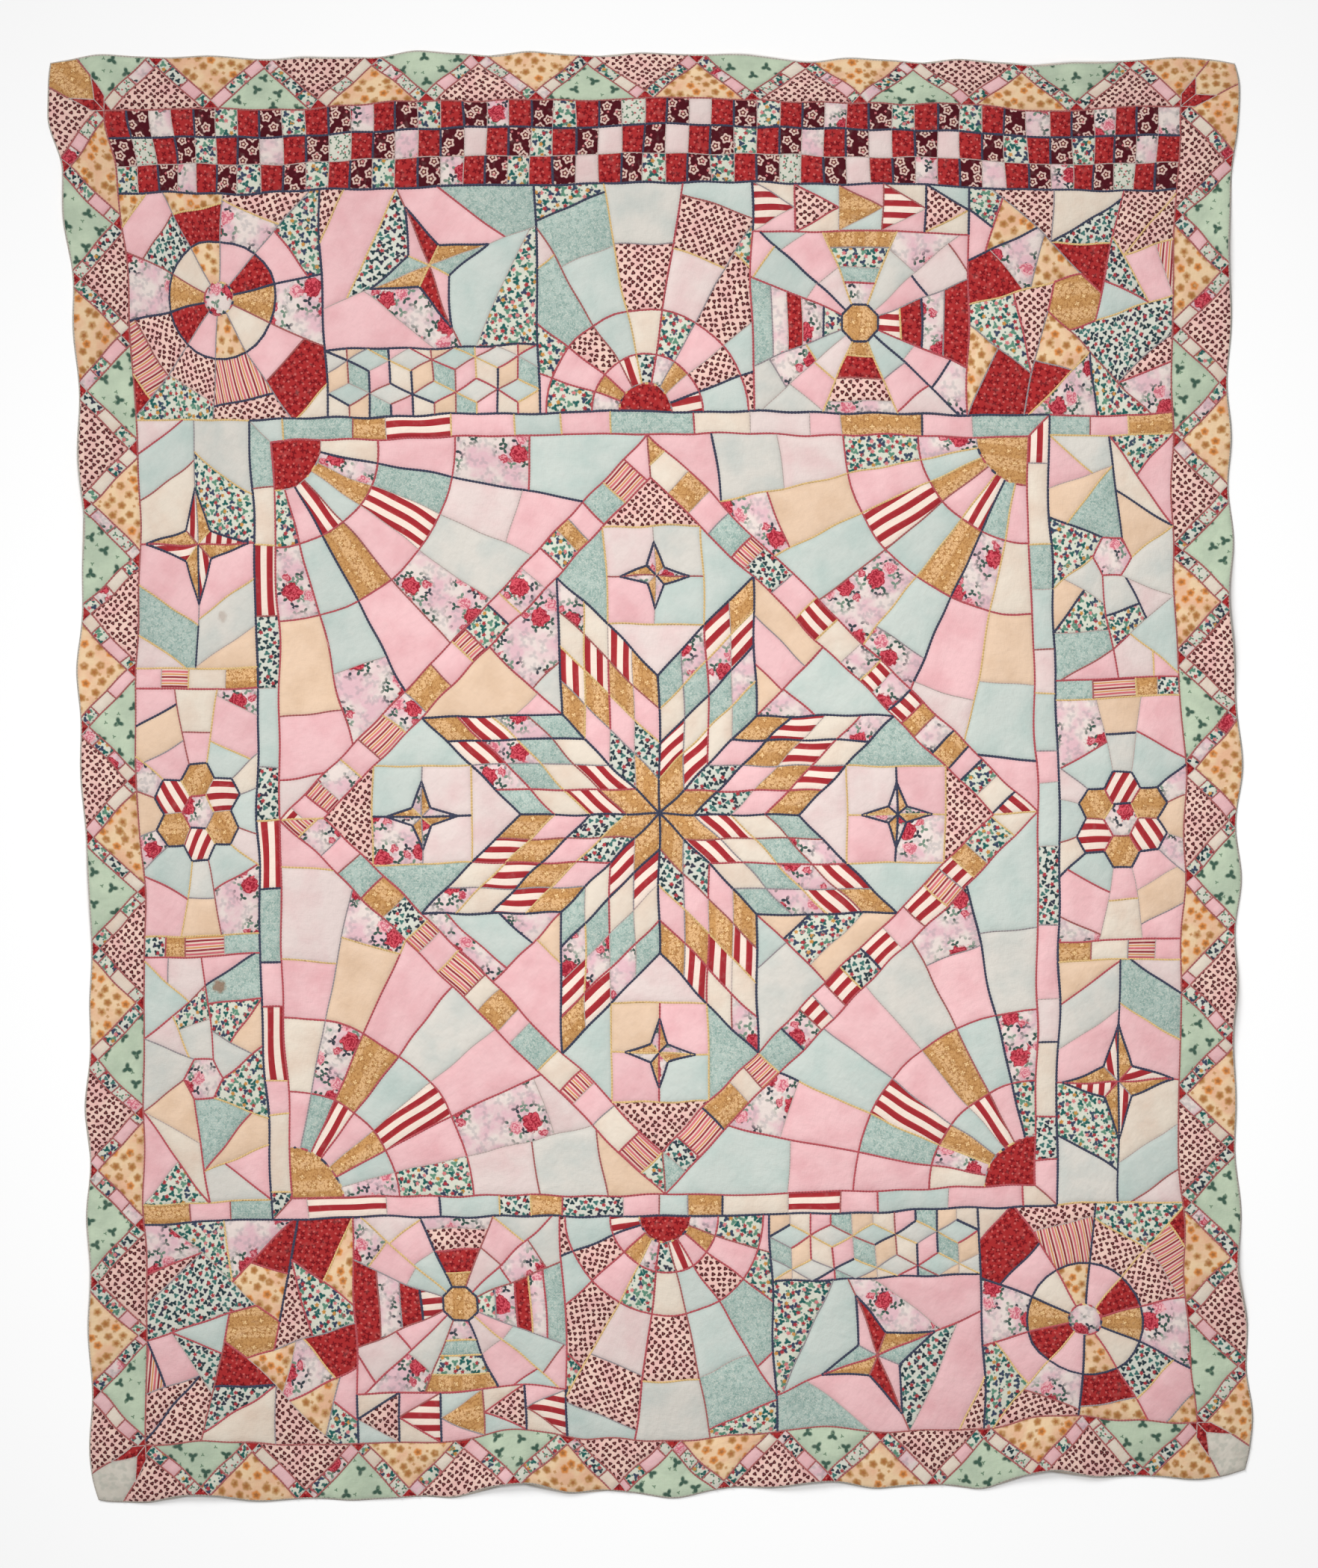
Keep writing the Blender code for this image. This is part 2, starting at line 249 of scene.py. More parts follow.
def middle_of_cloth():
    """The middle of the hem's box, read at the frame's own points."""
    us = [-BORDER, *np.arange(STEPS_ACROSS + 3) * STEP_U - STEP_U, FIELD_W + BORDER]
    vs = [-BORDER, *np.arange(STEPS_UP + 3) * STEP_V - STEP_V, INNER_H + BORDER]
    points = [(u, v) for u in us for v in (vs[0], vs[-1])] + [(u, v) for v in vs for u in (us[0], us[-1])]
    x, y = pulled(*np.array(points, float).T)
    return (x.min() + x.max()) / 2, (y.min() + y.max()) / 2


MIDDLE = middle_of_cloth()
# The sewing's small wander: waves by amplitude, length, heading and phase
WANDER = [
    (amount, length, DICE.uniform(0, math.tau), DICE.uniform(0, math.tau))
    for amount, length, count in ((0.0011, 0.19, 4), (0.0006, 0.075, 5))
    for _ in range(count)
]


def laid(points):
    """World x and y of pattern points, with the sewing's small wander."""
    u, v = points.real, points.imag
    for i, (amount, length, turn, phase) in enumerate(WANDER):
        wave = amount * np.sin(math.tau * (u * math.cos(turn) + v * math.sin(turn)) / length + phase)
        u, v = (u + wave, v) if i % 2 else (u, v + wave)
    x, y = pulled(u, v)
    return x - MIDDLE[0], y - MIDDLE[1]


def sides(loop):
    """Each corner of a loop with the next."""
    return list(zip(loop, loop[1:] + loop[:1]))


# Cutting loops of complex points, all anticlockwise

ON_LINE = 1e-7
LEAST_SCRAP = 2e-5  # area of the smallest part kept where a loop is cut off


def area(loop):
    return sum((a.conjugate() * b).imag for a, b in sides(loop)) / 2


def centre(loop):
    return sum(loop) / len(loop)


def box(u0, v0, u1, v1):
    return [complex(u0, v0), complex(u1, v0), complex(u1, v1), complex(u0, v1)]


def regular(middle, radius, corners, turn=0.0):
    return [middle + cmath.rect(radius, turn + math.tau * i / corners) for i in range(corners)]


def arc(middle, radius, start, end, steps):
    return [middle + cmath.rect(radius, start + (end - start) * i / steps) for i in range(steps + 1)]


def cut(loop, a, b):
    """The parts of a loop on the left and on the right of the line from a to b."""
    left, right = [], []
    way = (b - a).conjugate() / abs(b - a)
    for p, q in sides(loop):
        p_off, q_off = (way * (p - a)).imag, (way * (q - a)).imag
        if p_off > -ON_LINE:
            left.append(p)
        if p_off < ON_LINE:
            right.append(p)
        if p_off * q_off < 0 and min(abs(p_off), abs(q_off)) > ON_LINE:
            point = p + (q - p) * p_off / (p_off - q_off)
            left.append(point)
            right.append(point)
    return left, right


def clipped(loop, outer):
    """The part of a loop inside a convex one."""
    for a, b in sides(outer):
        loop = cut(loop, a, b)[0]
        if len(loop) < 3:
            return []
    return loop if area(loop) > LEAST_SCRAP else []


def hit(outer, point, way):
    """Where a ray from inside a convex loop leaves it: the side's number and the point."""
    best = (math.inf, 0, point)
    for i, (a, b) in enumerate(sides(outer)):
        across = (way.conjugate() * (b - a)).imag
        if across > 1e-12:
            far = ((a - point).conjugate() * (b - a)).imag / across
            if 1e-9 < far < best[0]:
                best = (far, i, point + way * far)
    return best[1:]


def outer_run(outer, first, last):
    """An outer loop's corners from one hit to the next."""
    (side, start), (far_side, end) = first, last
    count = (far_side - side) % len(outer)
    return [start] + [outer[(side + 1 + i) % len(outer)] for i in range(count)] + [end]


def surround(inner, links, outer, middle, twist=0.0):
    """The loops between an inner loop and a convex outer one, parted by rays from the inner loop's
    linked points. With twist 0 the rays run straight out, with 1 along the inner loop's sides."""
    hits = []
    for i in links:
        out = (inner[i] - middle) / abs(inner[i] - middle)
        along = (inner[i] - inner[i - 1]) / abs(inner[i] - inner[i - 1])
        hits.append(hit(outer, inner[i], out * (1 - twist) + along * twist))
    sectors = []
    for k, i in enumerate(links):
        j = links[(k + 1) % len(links)]
        chain = [inner[(i + n) % len(inner)] for n in range((j - i) % len(inner) + 1)]
        sectors.append(outer_run(outer, hits[k], hits[(k + 1) % len(links)]) + chain[::-1])
    return sectors


def convex(loop):
    """Whether a loop never bends inwards."""
    return all(
        ((b - a).conjugate() * (c - b)).imag > -1e-9
        for a, b, c in zip(loop, loop[1:] + loop[:1], loop[2:] + loop[:2])
    )


# Patchwork: each function returns patches, as (loop, cloth, turn of its print)

MUTED = "pink aqua pink mist rose cream teal peach pink aqua garden blush"
MIXED = "pink aqua maroon teal garden rose pink blush ink gold aqua pink"
WARM = "maroon pink red rose ink spots maroon aqua pink garden cream fine"
PALE = "pink aqua rose mist pink peach aqua blush"
SMALL = "stripe gold cream garden teal pink ink rose fine"
STRIP = "garden rose sprig garden ink garden pink cream"
LEAST_SHARD = 0.0009  # area of the smallest shard
LEAN = 0.55  # most that a cut leans, in radians
CORNER_CUTS = 0.3  # share of the cuts that go through a corner
last_cloth = [""]


def pick(cloths):
    """A cloth unlike the last one picked."""
    cloth = DICE.choice([c for c in cloths if c != last_cloth[0]])
    last_cloth[0] = cloth
    return cloth


def nth(cloths, i):
    """The cloths named, in turn."""
    names = cloths.split()
    return names[i % len(names)]


def quarter_turns():
    """A print's turn: a quarter turn or more, cut a little askew."""
    return DICE.choice((0, 1, 2, 3)) * math.pi / 2 + DICE.uniform(-0.2, 0.2)


def patch(loop, cloths, turn=None):
    """A patch of the cloth named, or of one picked from several."""
    names = cloths.split()
    cloth = pick(names) if len(names) > 1 else cloths
    return (loop, cloth, quarter_turns() if turn is None else turn)


def crazy(loop, size, cloths):
    """Cuts a convex loop across again and again until its parts are small."""
    if area(loop) < size * DICE.uniform(0.8, 1.7) or not convex(loop):
        return [patch(loop, cloths)]
    a, b = max(((p, q) for p in loop for q in loop), key=lambda pair: abs(pair[0] - pair[1]))
    at = a + (b - a) * DICE.uniform(0.38, 0.62)
    way = (b - a) * 1j * cmath.rect(1, DICE.uniform(-LEAN, LEAN))
    if DICE.random() < CORNER_CUTS:
        nearest = min(loop, key=lambda p: abs(((p - at) * way.conjugate()).imag))
        way = at - nearest if abs(at - nearest) > 1e-3 else way
    parts = cut(loop, at, at + way)
    if min(area(part) for part in parts) < LEAST_SHARD:
        return [patch(loop, cloths)]
    return [piece for part in parts for piece in crazy(part, size, cloths)]


def strings(loop, a, b, low, high, cloths):
    """Cuts a loop straight across the way from a to b, at uneven steps."""
    way = (b - a) / abs(b - a)
    turn = cmath.phase(way)
    found, rest, at = [], loop, 0.0
    while True:
        at += DICE.uniform(low, high)
        if at > abs(b - a) - 0.6 * low:
            return found + [patch(rest, cloths, turn)]
        point = a + way * at
        done, rest = cut(rest, point, point + way * 1j)
        found.append(patch(done, cloths, turn))


def rays(loop, middle, low, high, cloths):
    """Cuts a loop into strings straight out from a middle."""
    way = (centre(loop) - middle) / abs(centre(loop) - middle)
    near, far = (reach((p - middle).real * way.real + (p - middle).imag * way.imag for p in loop)
                 for reach in (min, max))
    return strings(loop, middle + way * near, middle + way * far, low, high, cloths)


def wedges(middle, hub, rim, start, end, cloths, count):
    """A ring of wedges from one angle to another, and the points along its two arcs."""
    inner, outer = (arc(middle, radius, start, end, count * WEDGE_STEPS) for radius in (hub, rim))
    found = []
    for i in range(count):
        part = slice(i * WEDGE_STEPS, (i + 1) * WEDGE_STEPS + 1)
        loop = outer[part] + inner[part][::-1]
        found.append(patch(loop, nth(cloths, i), cmath.phase(centre(loop) - middle)))
    return found, inner, outer


def burst(inner, links, outer, middle, low, high, cloths):
    """Shards from an inner loop to a convex outer one, cut into strings straight out."""
    return [
        piece for sector in surround(inner, links, outer, middle)
        for piece in rays(sector, middle, low, high, cloths)
    ]


def wheel(outer, middle, hub, rim, count, spokes, hub_cloth, around, size):
    """A wheel of wedges with shards from its rim to a convex outer loop."""
    ring, inner, edge = wedges(middle, hub, rim, 0.2, 0.2 + math.tau, spokes, count)
    found = [patch(inner[:-1], hub_cloth)] + ring
    guide(edge, "navy", False)
    links = range(0, count * WEDGE_STEPS, WEDGE_STEPS)
    return found + burst(edge[:-1], links, outer, middle, size, 1.5 * size, around)


def fan(outer, start, end, count, rings, blades, hub_cloth, beyond, size):
    """Rings of blades about the outer loop's first corner, with strings from the last to its far sides."""
    middle = outer[0]
    found = []
    for hub, rim, cloths in zip(rings, rings[1:], blades):
        ring, inner, edge = wedges(middle, hub, rim, start, end, cloths, count)
        if not found:
            found.append(patch([middle] + inner, hub_cloth))
        found += ring
        guide(edge, "red", False)
    joints = edge[::WEDGE_STEPS]
    hits = [(0, outer[1])] + [hit(outer, p, p - middle) for p in joints[1:-1]]
    hits.append((len(outer) - 2, outer[-1]))
    for i in range(count):
        run = outer_run(outer, hits[i], hits[i + 1])
        run = [p for n, p in enumerate(run) if n == 0 or abs(p - run[n - 1]) > 1e-6]
        sector = run + edge[i * WEDGE_STEPS:(i + 1) * WEDGE_STEPS + 1][::-1]
        found += rays(sector, middle, size, 1.7 * size, beyond)
    return found


def web(outer, middle, hub, plain_cloths, string_cloths, low, high):
    """Rays from an eight-sided hub, every second sector cut into strings."""
    inner = regular(middle, hub, 8, math.pi / 8)
    found = [patch(inner, "gold")]
    for i, sector in enumerate(surround(inner, range(8), outer, middle)):
        if i % 2:
            found += rays(sector, middle, low, high, string_cloths)
        else:
            for side in cut(sector, middle, middle + (centre(sector) - middle)):
                found += rays(side, middle, 0.05, 0.09, plain_cloths)
    guide(inner, "navy")
    return found


def star_block(outer, middle, out, waist, points, turn, cloths, around, size):
    """A pointed star split along its rays, with shards about it."""
    loop = [
        middle + cmath.rect(waist if i % 2 else out, turn + math.pi * i / points)
        for i in range(2 * points)
    ]
    found = [patch([middle, a, b], nth(cloths, i)) for i, (a, b) in enumerate(sides(loop))]
    guide(loop, "navy")
    return found + burst(loop, range(0, 2 * points, 2), outer, middle, size, 1.6 * size, around)


def whirl_block(outer, middle, radius, corners, turn, cloth, around, size, twist=1.0):
    """A regular patch with shards that whirl about it."""
    inner = regular(middle, radius, corners, turn)
    found = [patch(inner, cloth)]
    for sector in surround(inner, range(corners), outer, middle, twist):
        found += crazy(sector, size, around)
    guide(inner, "red")
    return found


def rosette(outer, middle, side, heart, petals, around):
    """Seven hexagons with shards about them."""
    found = [patch(regular(middle, side, 6), heart)]
    rim = []
    for i in range(6):
        turn = i * math.pi / 3
        at = middle + cmath.rect(side * math.sqrt(3), math.pi / 6 + turn)
        found.append(patch(regular(at, side, 6), nth(petals, i), turn))
        rim += [at + cmath.rect(side, turn + more) for more in (0, math.pi / 3)]
        rim.append(middle + cmath.rect(2 * side, math.pi / 3 + turn))
    guide(rim, "navy")
    links = [i for i in range(18) if i % 3 != 2]
    return found + burst(rim, links, outer, middle, 0.05, 0.085, around)


def tumbling(outer, across, cloths):
    """Hexagons each of three rhombs, cut off at the loop's sides."""
    left, low = outer[0].real, outer[0].imag
    width, height = outer[2].real - left, outer[2].imag - low
    side = width / across / math.sqrt(3)
    rows = max(1, round(height / (1.5 * side)))
    stretch = height / (rows * 1.5 * side)
    found = []
    for row in range(rows + 1):
        for column in range(across + 1):
            at = complex((column + (row % 2) / 2) * width / across, row * 1.5 * side)
            ring = regular(at, side, 6, math.pi / 2)
            for i, cloth in zip((0, 2, 4), cloths):
                rhomb = [at, ring[i], ring[(i + 1) % 6], ring[(i + 2) % 6]]
                part = clipped([complex(left + p.real, low + p.imag * stretch) for p in rhomb], outer)
                if part:
                    found.append(patch(part, nth(cloth, row + column), i * math.pi / 3))
    return found


def geese(origin, way, length, width, count, goose, sky):
    """A row of flying geese from the origin, pointing along the way."""
    found = []
    step = length / count
    for i in range(count):
        low, high, middle = complex(i * step, 0), complex(i * step, width), complex((i + 1) * step, width / 2)
        for loop, cloth in (
            ([low, middle, high], nth(goose, i)),
            ([low, low + step, middle], nth(sky, i)),
            ([high, middle, high + step], nth(sky, i + 1)),
        ):
            found.append(patch([origin + way * p for p in loop], cloth, cmath.phase(way)))
    return found


def turned(pieces, middle):
    """The same patches, half a turn round."""
    return [([2 * middle - p for p in loop], cloth, turn + math.pi) for loop, cloth, turn in pieces]


PATCHES = []  # (loop, cloth, turn, node)
GUIDES = []  # (start, end, thread): the later wins


def sew(node, pieces):
    """Adds patches to a node."""
    PATCHES.extend((loop, cloth, turn, node) for loop, cloth, turn in pieces)


def guide(points, thread, closed=True):
    """Seams along this line are sewn over in this thread."""
    GUIDES.extend((a, b, thread) for a, b in sides(points)[:None if closed else -1])


def steps_box(u0, v0, u1, v1):
    return box(u0 * STEP_U, v0 * STEP_V, u1 * STEP_U, v1 * STEP_V)


FIELD_STEPS_UP = STEPS_UP - CHECK_STEPS
FIELD_MIDDLE = complex(FIELD_W, FIELD_STEPS_UP * STEP_V) / 2


def parted(loop, share):
    """A rectangle's lower and upper parts, each from its lower left corner."""
    at = loop[0] + (loop[3] - loop[0]) * share
    upper, lower = cut(loop, at, at + 1)
    return lower, upper[-1:] + upper[:-1]


def field_row():
    """Five blocks of the top row, which the bottom row repeats half a turn round."""
    low, high = FIELD_STEPS_UP - ROW_STEPS, FIELD_STEPS_UP
    blocks = [steps_box(8 * i, low, 8 * i + 8, high) for i in range(5)]
    for block in blocks:
        guide(block, "navy")
    pieces = wheel(blocks[0], centre(blocks[0]) + 0.012j, 0.026, 0.094, 10,
                   "red pink spots cream gold", "rose", WARM, 0.05)
    lower, upper = parted(blocks[1], 0.3)
    pieces += tumbling(lower, 5, ("pink peach", "mist aqua", "cream teal"))
    pieces += star_block(upper, centre(upper), 0.1, 0.036, 4, 0.35, "gold red pink teal", MIXED, 0.055)
    guide(lower, "navy")
    loop = blocks[2]
    base = (loop[0] + loop[1]) / 2
    pieces += fan([base, loop[1], loop[2], loop[3], loop[0]], 0, math.pi, 9, (0.042, 0.088, 0.158),
                  ("stripe pink gold rose ink", "aqua maroon pink garden cream"), "red",
                  "pink garden aqua maroon blush teal pink rose mist", 0.075)
    lower, upper = parted(blocks[3], 0.78)
    pieces += web(lower, centre(lower), 0.03, "pink aqua blush rose pink mist",
                  "maroon gold garden stripe rose teal red", 0.022, 0.036)
    pieces += geese(upper[0], 1, abs(upper[1] - upper[0]), abs(upper[3] - upper[0]), 5,
                    "stripe maroon gold", "pink cream aqua")
    guide(lower, "red")
    pieces += whirl_block(blocks[4], centre(blocks[4]), 0.046, 6, 0.3, "gold", WARM, 0.0042)
    return pieces


def field_column():
    """Three blocks of the left column, which the right one repeats half a turn round."""
    third = (FIELD_STEPS_UP - ROW_STEPS - ROW_STEPS) / 3
    pieces, blocks = [], []
    for i in range(3):
        block = steps_box(0, ROW_STEPS + third * i, COLUMN_STEPS, ROW_STEPS + third * (i + 1))
        guide(block, "red")
        sash, rest = parted(block, 0.075)
        pieces += strings(sash, sash[0], sash[1], 0.03, 0.075, "teal pink gold fine cream ink")
        guide(rest, "gold")
        blocks.append(rest)
    low, middle, high = blocks
    pieces += whirl_block(low, centre(low), 0.036, 6, 0, "rose", MUTED, 0.0042, 0.6)
    pieces += rosette(middle, centre(middle), 0.03, "rose", "stripe gold", MUTED)
    pieces += star_block(high, centre(high), 0.095, 0.034, 4, math.pi / 2, "stripe gold", MUTED, 0.06)
    return pieces


def star_square(middle, right, up, rows):
    """A star of eight diamonds, each of small ones, inside the square middle + x right + y up."""
    side = 2 - math.sqrt(2)
    tip = side / math.sqrt(2)
    lean = cmath.phase(right)

    def at(*points):
        return [middle + p.real * right + p.imag * up for p in points]

    found = []
    for k in range(8):
        first, second = (cmath.rect(side / rows, math.pi / 4 * n) for n in (k, k + 1))
        rings = ("gold stripe cream teal rose stripe gold", "gold ink pink gold stripe cream rose")[k % 2]
        for i in range(rows):
            for j in range(rows):
                corner = i * first + j * second
                loop = at(corner, corner + first, corner + first + second, corner + second)
                found.append(patch(loop, nth(rings, i + j), lean + math.pi / 4 * k))
        guide(at(0, rows * first, rows * (first + second), rows * second), "navy")
    for k in range(4):
        spin = 1j ** k
        square = at(*(p * spin for p in box(tip, tip, 1, 1)))
        mids = [(a + b) / 2 for a, b in sides(square)]
        found += star_block(mids, centre(mids), 0.055, 0.02, 4, math.pi / 4 + lean, "rose gold", PALE, 0.06)
        for i, corner in enumerate(square):
            found.append(patch([mids[i - 1], corner, mids[i]], nth("blush aqua maroon teal", i)))
        guide(mids, "gold")
        notch, low, high = at(side * spin, complex(1, -tip) * spin, complex(1, tip) * spin)
        half = (low + high) / 2
        found += strings([notch, low, half], notch, half, 0.05, 0.08, "aqua rose mist")
        found += strings([notch, half, high], notch, half, 0.05, 0.08, "pink garden peach")
    return found


def field_centre():
    """A star on point, in a frame of strings, with a fan in each corner."""
    outer = steps_box(COLUMN_STEPS, ROW_STEPS, STEPS_ACROSS - COLUMN_STEPS, FIELD_STEPS_UP - ROW_STEPS)
    (left, low), (right, high) = ((p.real, p.imag) for p in (outer[0], outer[2]))
    inner = box(left + SASH, low + SASH, right - SASH, high - SASH)
    pieces = []
    for (a, b), (d, c) in zip(sides(outer), sides(inner)):
        pieces += strings([a, b, c, d], a, b, 0.045, 0.13, "pink gold aqua teal stripe cream ink blush pink")
    mids = [(a + b) / 2 for a, b in sides(inner)]
    middle = centre(inner)
    ring = [middle + (p - middle) * 0.885 for p in mids]
    for (a, b), (d, c) in zip(sides(mids), sides(ring)):
        pieces += strings([a, b, c, d], a, b, 0.026, 0.06, SMALL)
    pieces += star_square(middle, (ring[1] + ring[0]) / 2 - middle, (ring[1] + ring[2]) / 2 - middle, 4)
    blades = ("garden pink stripe aqua gold rose cream", "rose aqua gold pink stripe teal pink")
    for i, corner in enumerate(inner):
        start = i * math.pi / 2
        pieces += fan([corner, mids[i], mids[i - 1]], start, start + math.pi / 2, 7, (0.08, 0.17, 0.29),
                      blades[::1 if i % 2 else -1], nth("gold red", i), PALE, 0.095)
    for loop, thread in ((mids, "red"), (ring, "red"), (inner, "red"), (outer, "navy")):
        guide(loop, thread)
    return pieces


def checks():
    """Three rows of checks that step sideways by one from row to row."""
    low = FIELD_STEPS_UP * STEP_V
    wide, tall = FIELD_W / CHECK_COLUMNS, CHECK_STEPS * STEP_V / 3
    pieces = []
    for row in range(3):
        for column in range(CHECK_COLUMNS):
            loop = box(column * wide, low + row * tall, (column + 1) * wide, low + (row + 1) * tall)
            pale = DICE.choice("rose garden sprig blush rose garden".split())
            pieces.append(patch(loop, ("red", "bloom", pale)[(column + 2 - row) % 3]))
    for row, thread in enumerate(("navy", "plain", "navy", "rust")):
        at = low + row * tall
        guide([complex(0, at), complex(FIELD_W, at)], thread, False)
    return pieces


def zigzag(origin, way, pitches, length, cloths):
    """A border strip of big triangles parted by pieced strips, worked out along x from the origin."""
    pitch = length / pitches
    slope = math.atan2(BORDER, pitch / 2)
    rise, run = STRIP_HALF / math.cos(slope), STRIP_HALF / math.sin(slope)
    found = []

    def put(*points):
        return [origin + way * complex(x, y) for x, y in points]

    for k in range(pitches + 1):
        x = k * pitch
        peak = x + pitch / 2
        low, high = max(x - run, 0), min(x + run, length)
        tip, left, right = [(x, rise)], x - pitch / 2 + run, peak - run
        if k == 0:
            tip, left = [(0, CORNER_IN), (0, rise)], CORNER_OUT - BORDER
        if k == pitches:
            tip, right = [(x, rise), (x, CORNER_IN)], length + BORDER - CORNER_OUT
        pieces = [
            ([(low, 0), (high, 0), (x, rise)], "red"),
            (tip + [(right, BORDER), (left, BORDER)], nth(cloths, k + 1)),
            ([(x + run, 0), (x + pitch - run, 0), (peak, BORDER - rise)], nth(cloths, k)),
            ([(peak - run, BORDER), (peak, BORDER - rise), (peak + run, BORDER)], "red"),
        ]
        for points, cloth in pieces[:2 if k == pitches else 4]:
            found.append(patch(put(*points), cloth, cmath.phase(way)))
        if k < pitches:
            climbs = [(x, rise), (x + run, 0), (peak, BORDER - rise), (peak - run, BORDER)]
            falls = [(2 * peak - along, out) for along, out in climbs][::-1]
            for strip, a, b in ((climbs, (x, 0), (peak, BORDER)), (falls, (peak, BORDER), (x + pitch, 0))):
                found += strings(put(*strip), *put(a, b), 0.024, 0.042, STRIP)
    return found


def corner_piece(inner, across, up, cloth, gap):
    """A diagonal strip between two red spikes, which meet where it starts a gap from the field."""
    way = complex(across, up)
    outer, start = inner + way * BORDER, inner + way * gap
    right_in, right_out = inner + across * CORNER_IN, outer - up * CORNER_OUT * 1j
    left_in, left_out = inner + up * CORNER_IN * 1j, outer - across * CORNER_OUT
    right_tip = right_in + (right_out - right_in) * SPIKE
    left_tip = left_in + (left_out - left_in) * SPIKE
    loops = [
        [inner, right_in, right_tip, start],
        [inner, start, left_tip, left_in],
        [start, right_tip, right_out, outer, left_out, left_tip],
    ]
    if across * up < 0:
        loops = [loop[::-1] for loop in loops]
    return [patch(loop, name, cmath.phase(way)) for loop, name in zip(loops, ("red", "red", cloth))]


def pattern():
    """Sews every patch to its node."""
    row, column = field_row(), field_column()
    sew("field_row_top", row)
    sew("field_row_bottom", turned(row, FIELD_MIDDLE))
    sew("field_column_left", column)
    sew("field_column_right", turned(column, FIELD_MIDDLE))
    GUIDES.extend([(2 * FIELD_MIDDLE - a, 2 * FIELD_MIDDLE - b, thread) for a, b, thread in GUIDES])
    sew("field_centre", field_centre())
    sew("check_band", checks())
    field = box(0, 0, FIELD_W, INNER_H)
    low_left, low_right, top_right, top_left = field
    for side, origin, way, pitches, length, cloths in (
        ("top", top_left, 1, PITCHES_ACROSS, FIELD_W, "maroon mint spots"),
        ("right", top_right, -1j, PITCHES_UP, INNER_H, "maroon spots mint"),
        ("bottom", low_right, -1, PITCHES_ACROSS, FIELD_W, "mint spots maroon"),
        ("left", low_left, 1j, PITCHES_UP, INNER_H, "mint maroon spots"),
    ):
        sew("border_" + side, zigzag(origin, way, pitches, length, cloths))
    for corner, inner, across, up, cloth, gap in (
        ("top_left", top_left, -1, 1, "gold", 0.017),
        ("top_right", top_right, 1, 1, "spots", 0.022),
        ("bottom_left", low_left, -1, -1, "pale", 0.015),
        ("bottom_right", low_right, 1, -1, "pale", 0.015),
    ):
        sew("corner_" + corner, corner_piece(inner, across, up, cloth, gap))
    guide(field, "rust")


# Seams

NEAR = 0.0006  # corners closer than this are one
GUIDE_NEAR = 0.0015  # a seam this near a guide, and no more aslant to it, takes its thread
GUIDE_SLANT = 0.06
CORNERS = []  # where patches' corners lie
SEAMS = {}  # (corner, corner) to the points sewn through between them
PLACE = []  # of every point of the upper face
RISE = []  # over the underside
SEAM_DEPTH = []  # distance from the nearest seam


class Seam:
    """A seam between two corners: its steps, its patches and how its puckers run."""

    def __init__(self, first, last):
        self.steps = max(1, round(abs(CORNERS[last] - CORNERS[first]) / RIM_STEP))
        self.patches = []
        self.wave = DICE.uniform(*PUCKER_LENGTHS)
        self.phase = DICE.uniform(0, math.tau)


def seam_of(i, j):
    """The seam between two corners, and its points from the first corner to the second."""
    seam = SEAMS[min(i, j), max(i, j)]
    return seam, seam.points if i < j else seam.points[::-1]


def add_point(place, rise, depth=0.0):
    """Adds a point of the upper face and gives its number."""
    PLACE.append(place)
    RISE.append(rise)
    SEAM_DEPTH.append(depth)
    return len(PLACE) - 1


def snapped(loops):
    """The loops as corner numbers, with corners that nearly meet made one."""
    found, numbered = {}, []
    for loop in loops:
        numbers = []
        for p in loop:
            column, row = round(p.real / NEAR), round(p.imag / NEAR)
            around = [(column + i, row + j) for i in (-1, 0, 1) for j in (-1, 0, 1)]
            close = [found[at] for at in around if at in found and abs(CORNERS[found[at]] - p) < NEAR]
            if not close:
                found[column, row] = len(CORNERS)
                close = [len(CORNERS)]
                CORNERS.append(p)
            if not numbers or numbers[-1] != close[0]:
                numbers.append(close[0])
        if numbers[0] == numbers[-1]:
            numbers.pop()
        numbered.append(numbers)
    return numbered


def joined(corners, loop):
    """The loop with every other corner that lies on its sides."""
    full = []
    for i, j in sides(loop):
        length = abs(corners[j] - corners[i])
        on = (corners - corners[i]) * (corners[j] - corners[i]).conjugate() / length
        found = np.flatnonzero((on.real > NEAR) & (on.real < length - NEAR) & (abs(on.imag) < NEAR))
        full += [i] + found[np.argsort(on.real[found])].tolist()
    return full


def thread_of(seam, key, starts, ends):
    """The thread of the guide that a seam lies along, or one that suits its patches."""
    if len(seam.patches) == 1:
        return "hem"
    a, b = (CORNERS[n] for n in key)
    middle, way = (a + b) / 2, (b - a) / abs(b - a)
    runs = ends - starts
    on = (middle - starts) * runs.conjugate() / abs(runs)
    fits = (on.real > 0) & (on.real < abs(runs)) & (abs(on.imag) < GUIDE_NEAR)
    fits &= abs((runs.conjugate() * way).imag) / abs(runs) < GUIDE_SLANT
    if fits.any():
        return GUIDES[np.flatnonzero(fits)[-1]][2]
    cloths = {PATCHES[n][1] for n in seam.patches}
    nodes = {PATCHES[n][3] for n in seam.patches}
    if nodes == {"check_band"}:
        return "navy" if cloths == {"bloom", "red"} else "plain"
    if any(node.startswith(("border_", "corner_")) for node in nodes):
        return "plain" if "red" in cloths else "rust"
    off = (middle * way.conjugate()).imag * 100 * (1 if way.real > 0 else -1)
    choice = random.Random(round(cmath.phase(way * way) * 20) * 7919 + round(off) * 104729)
    return choice.choice("red red gold grey rust plain navy gold plain".split())


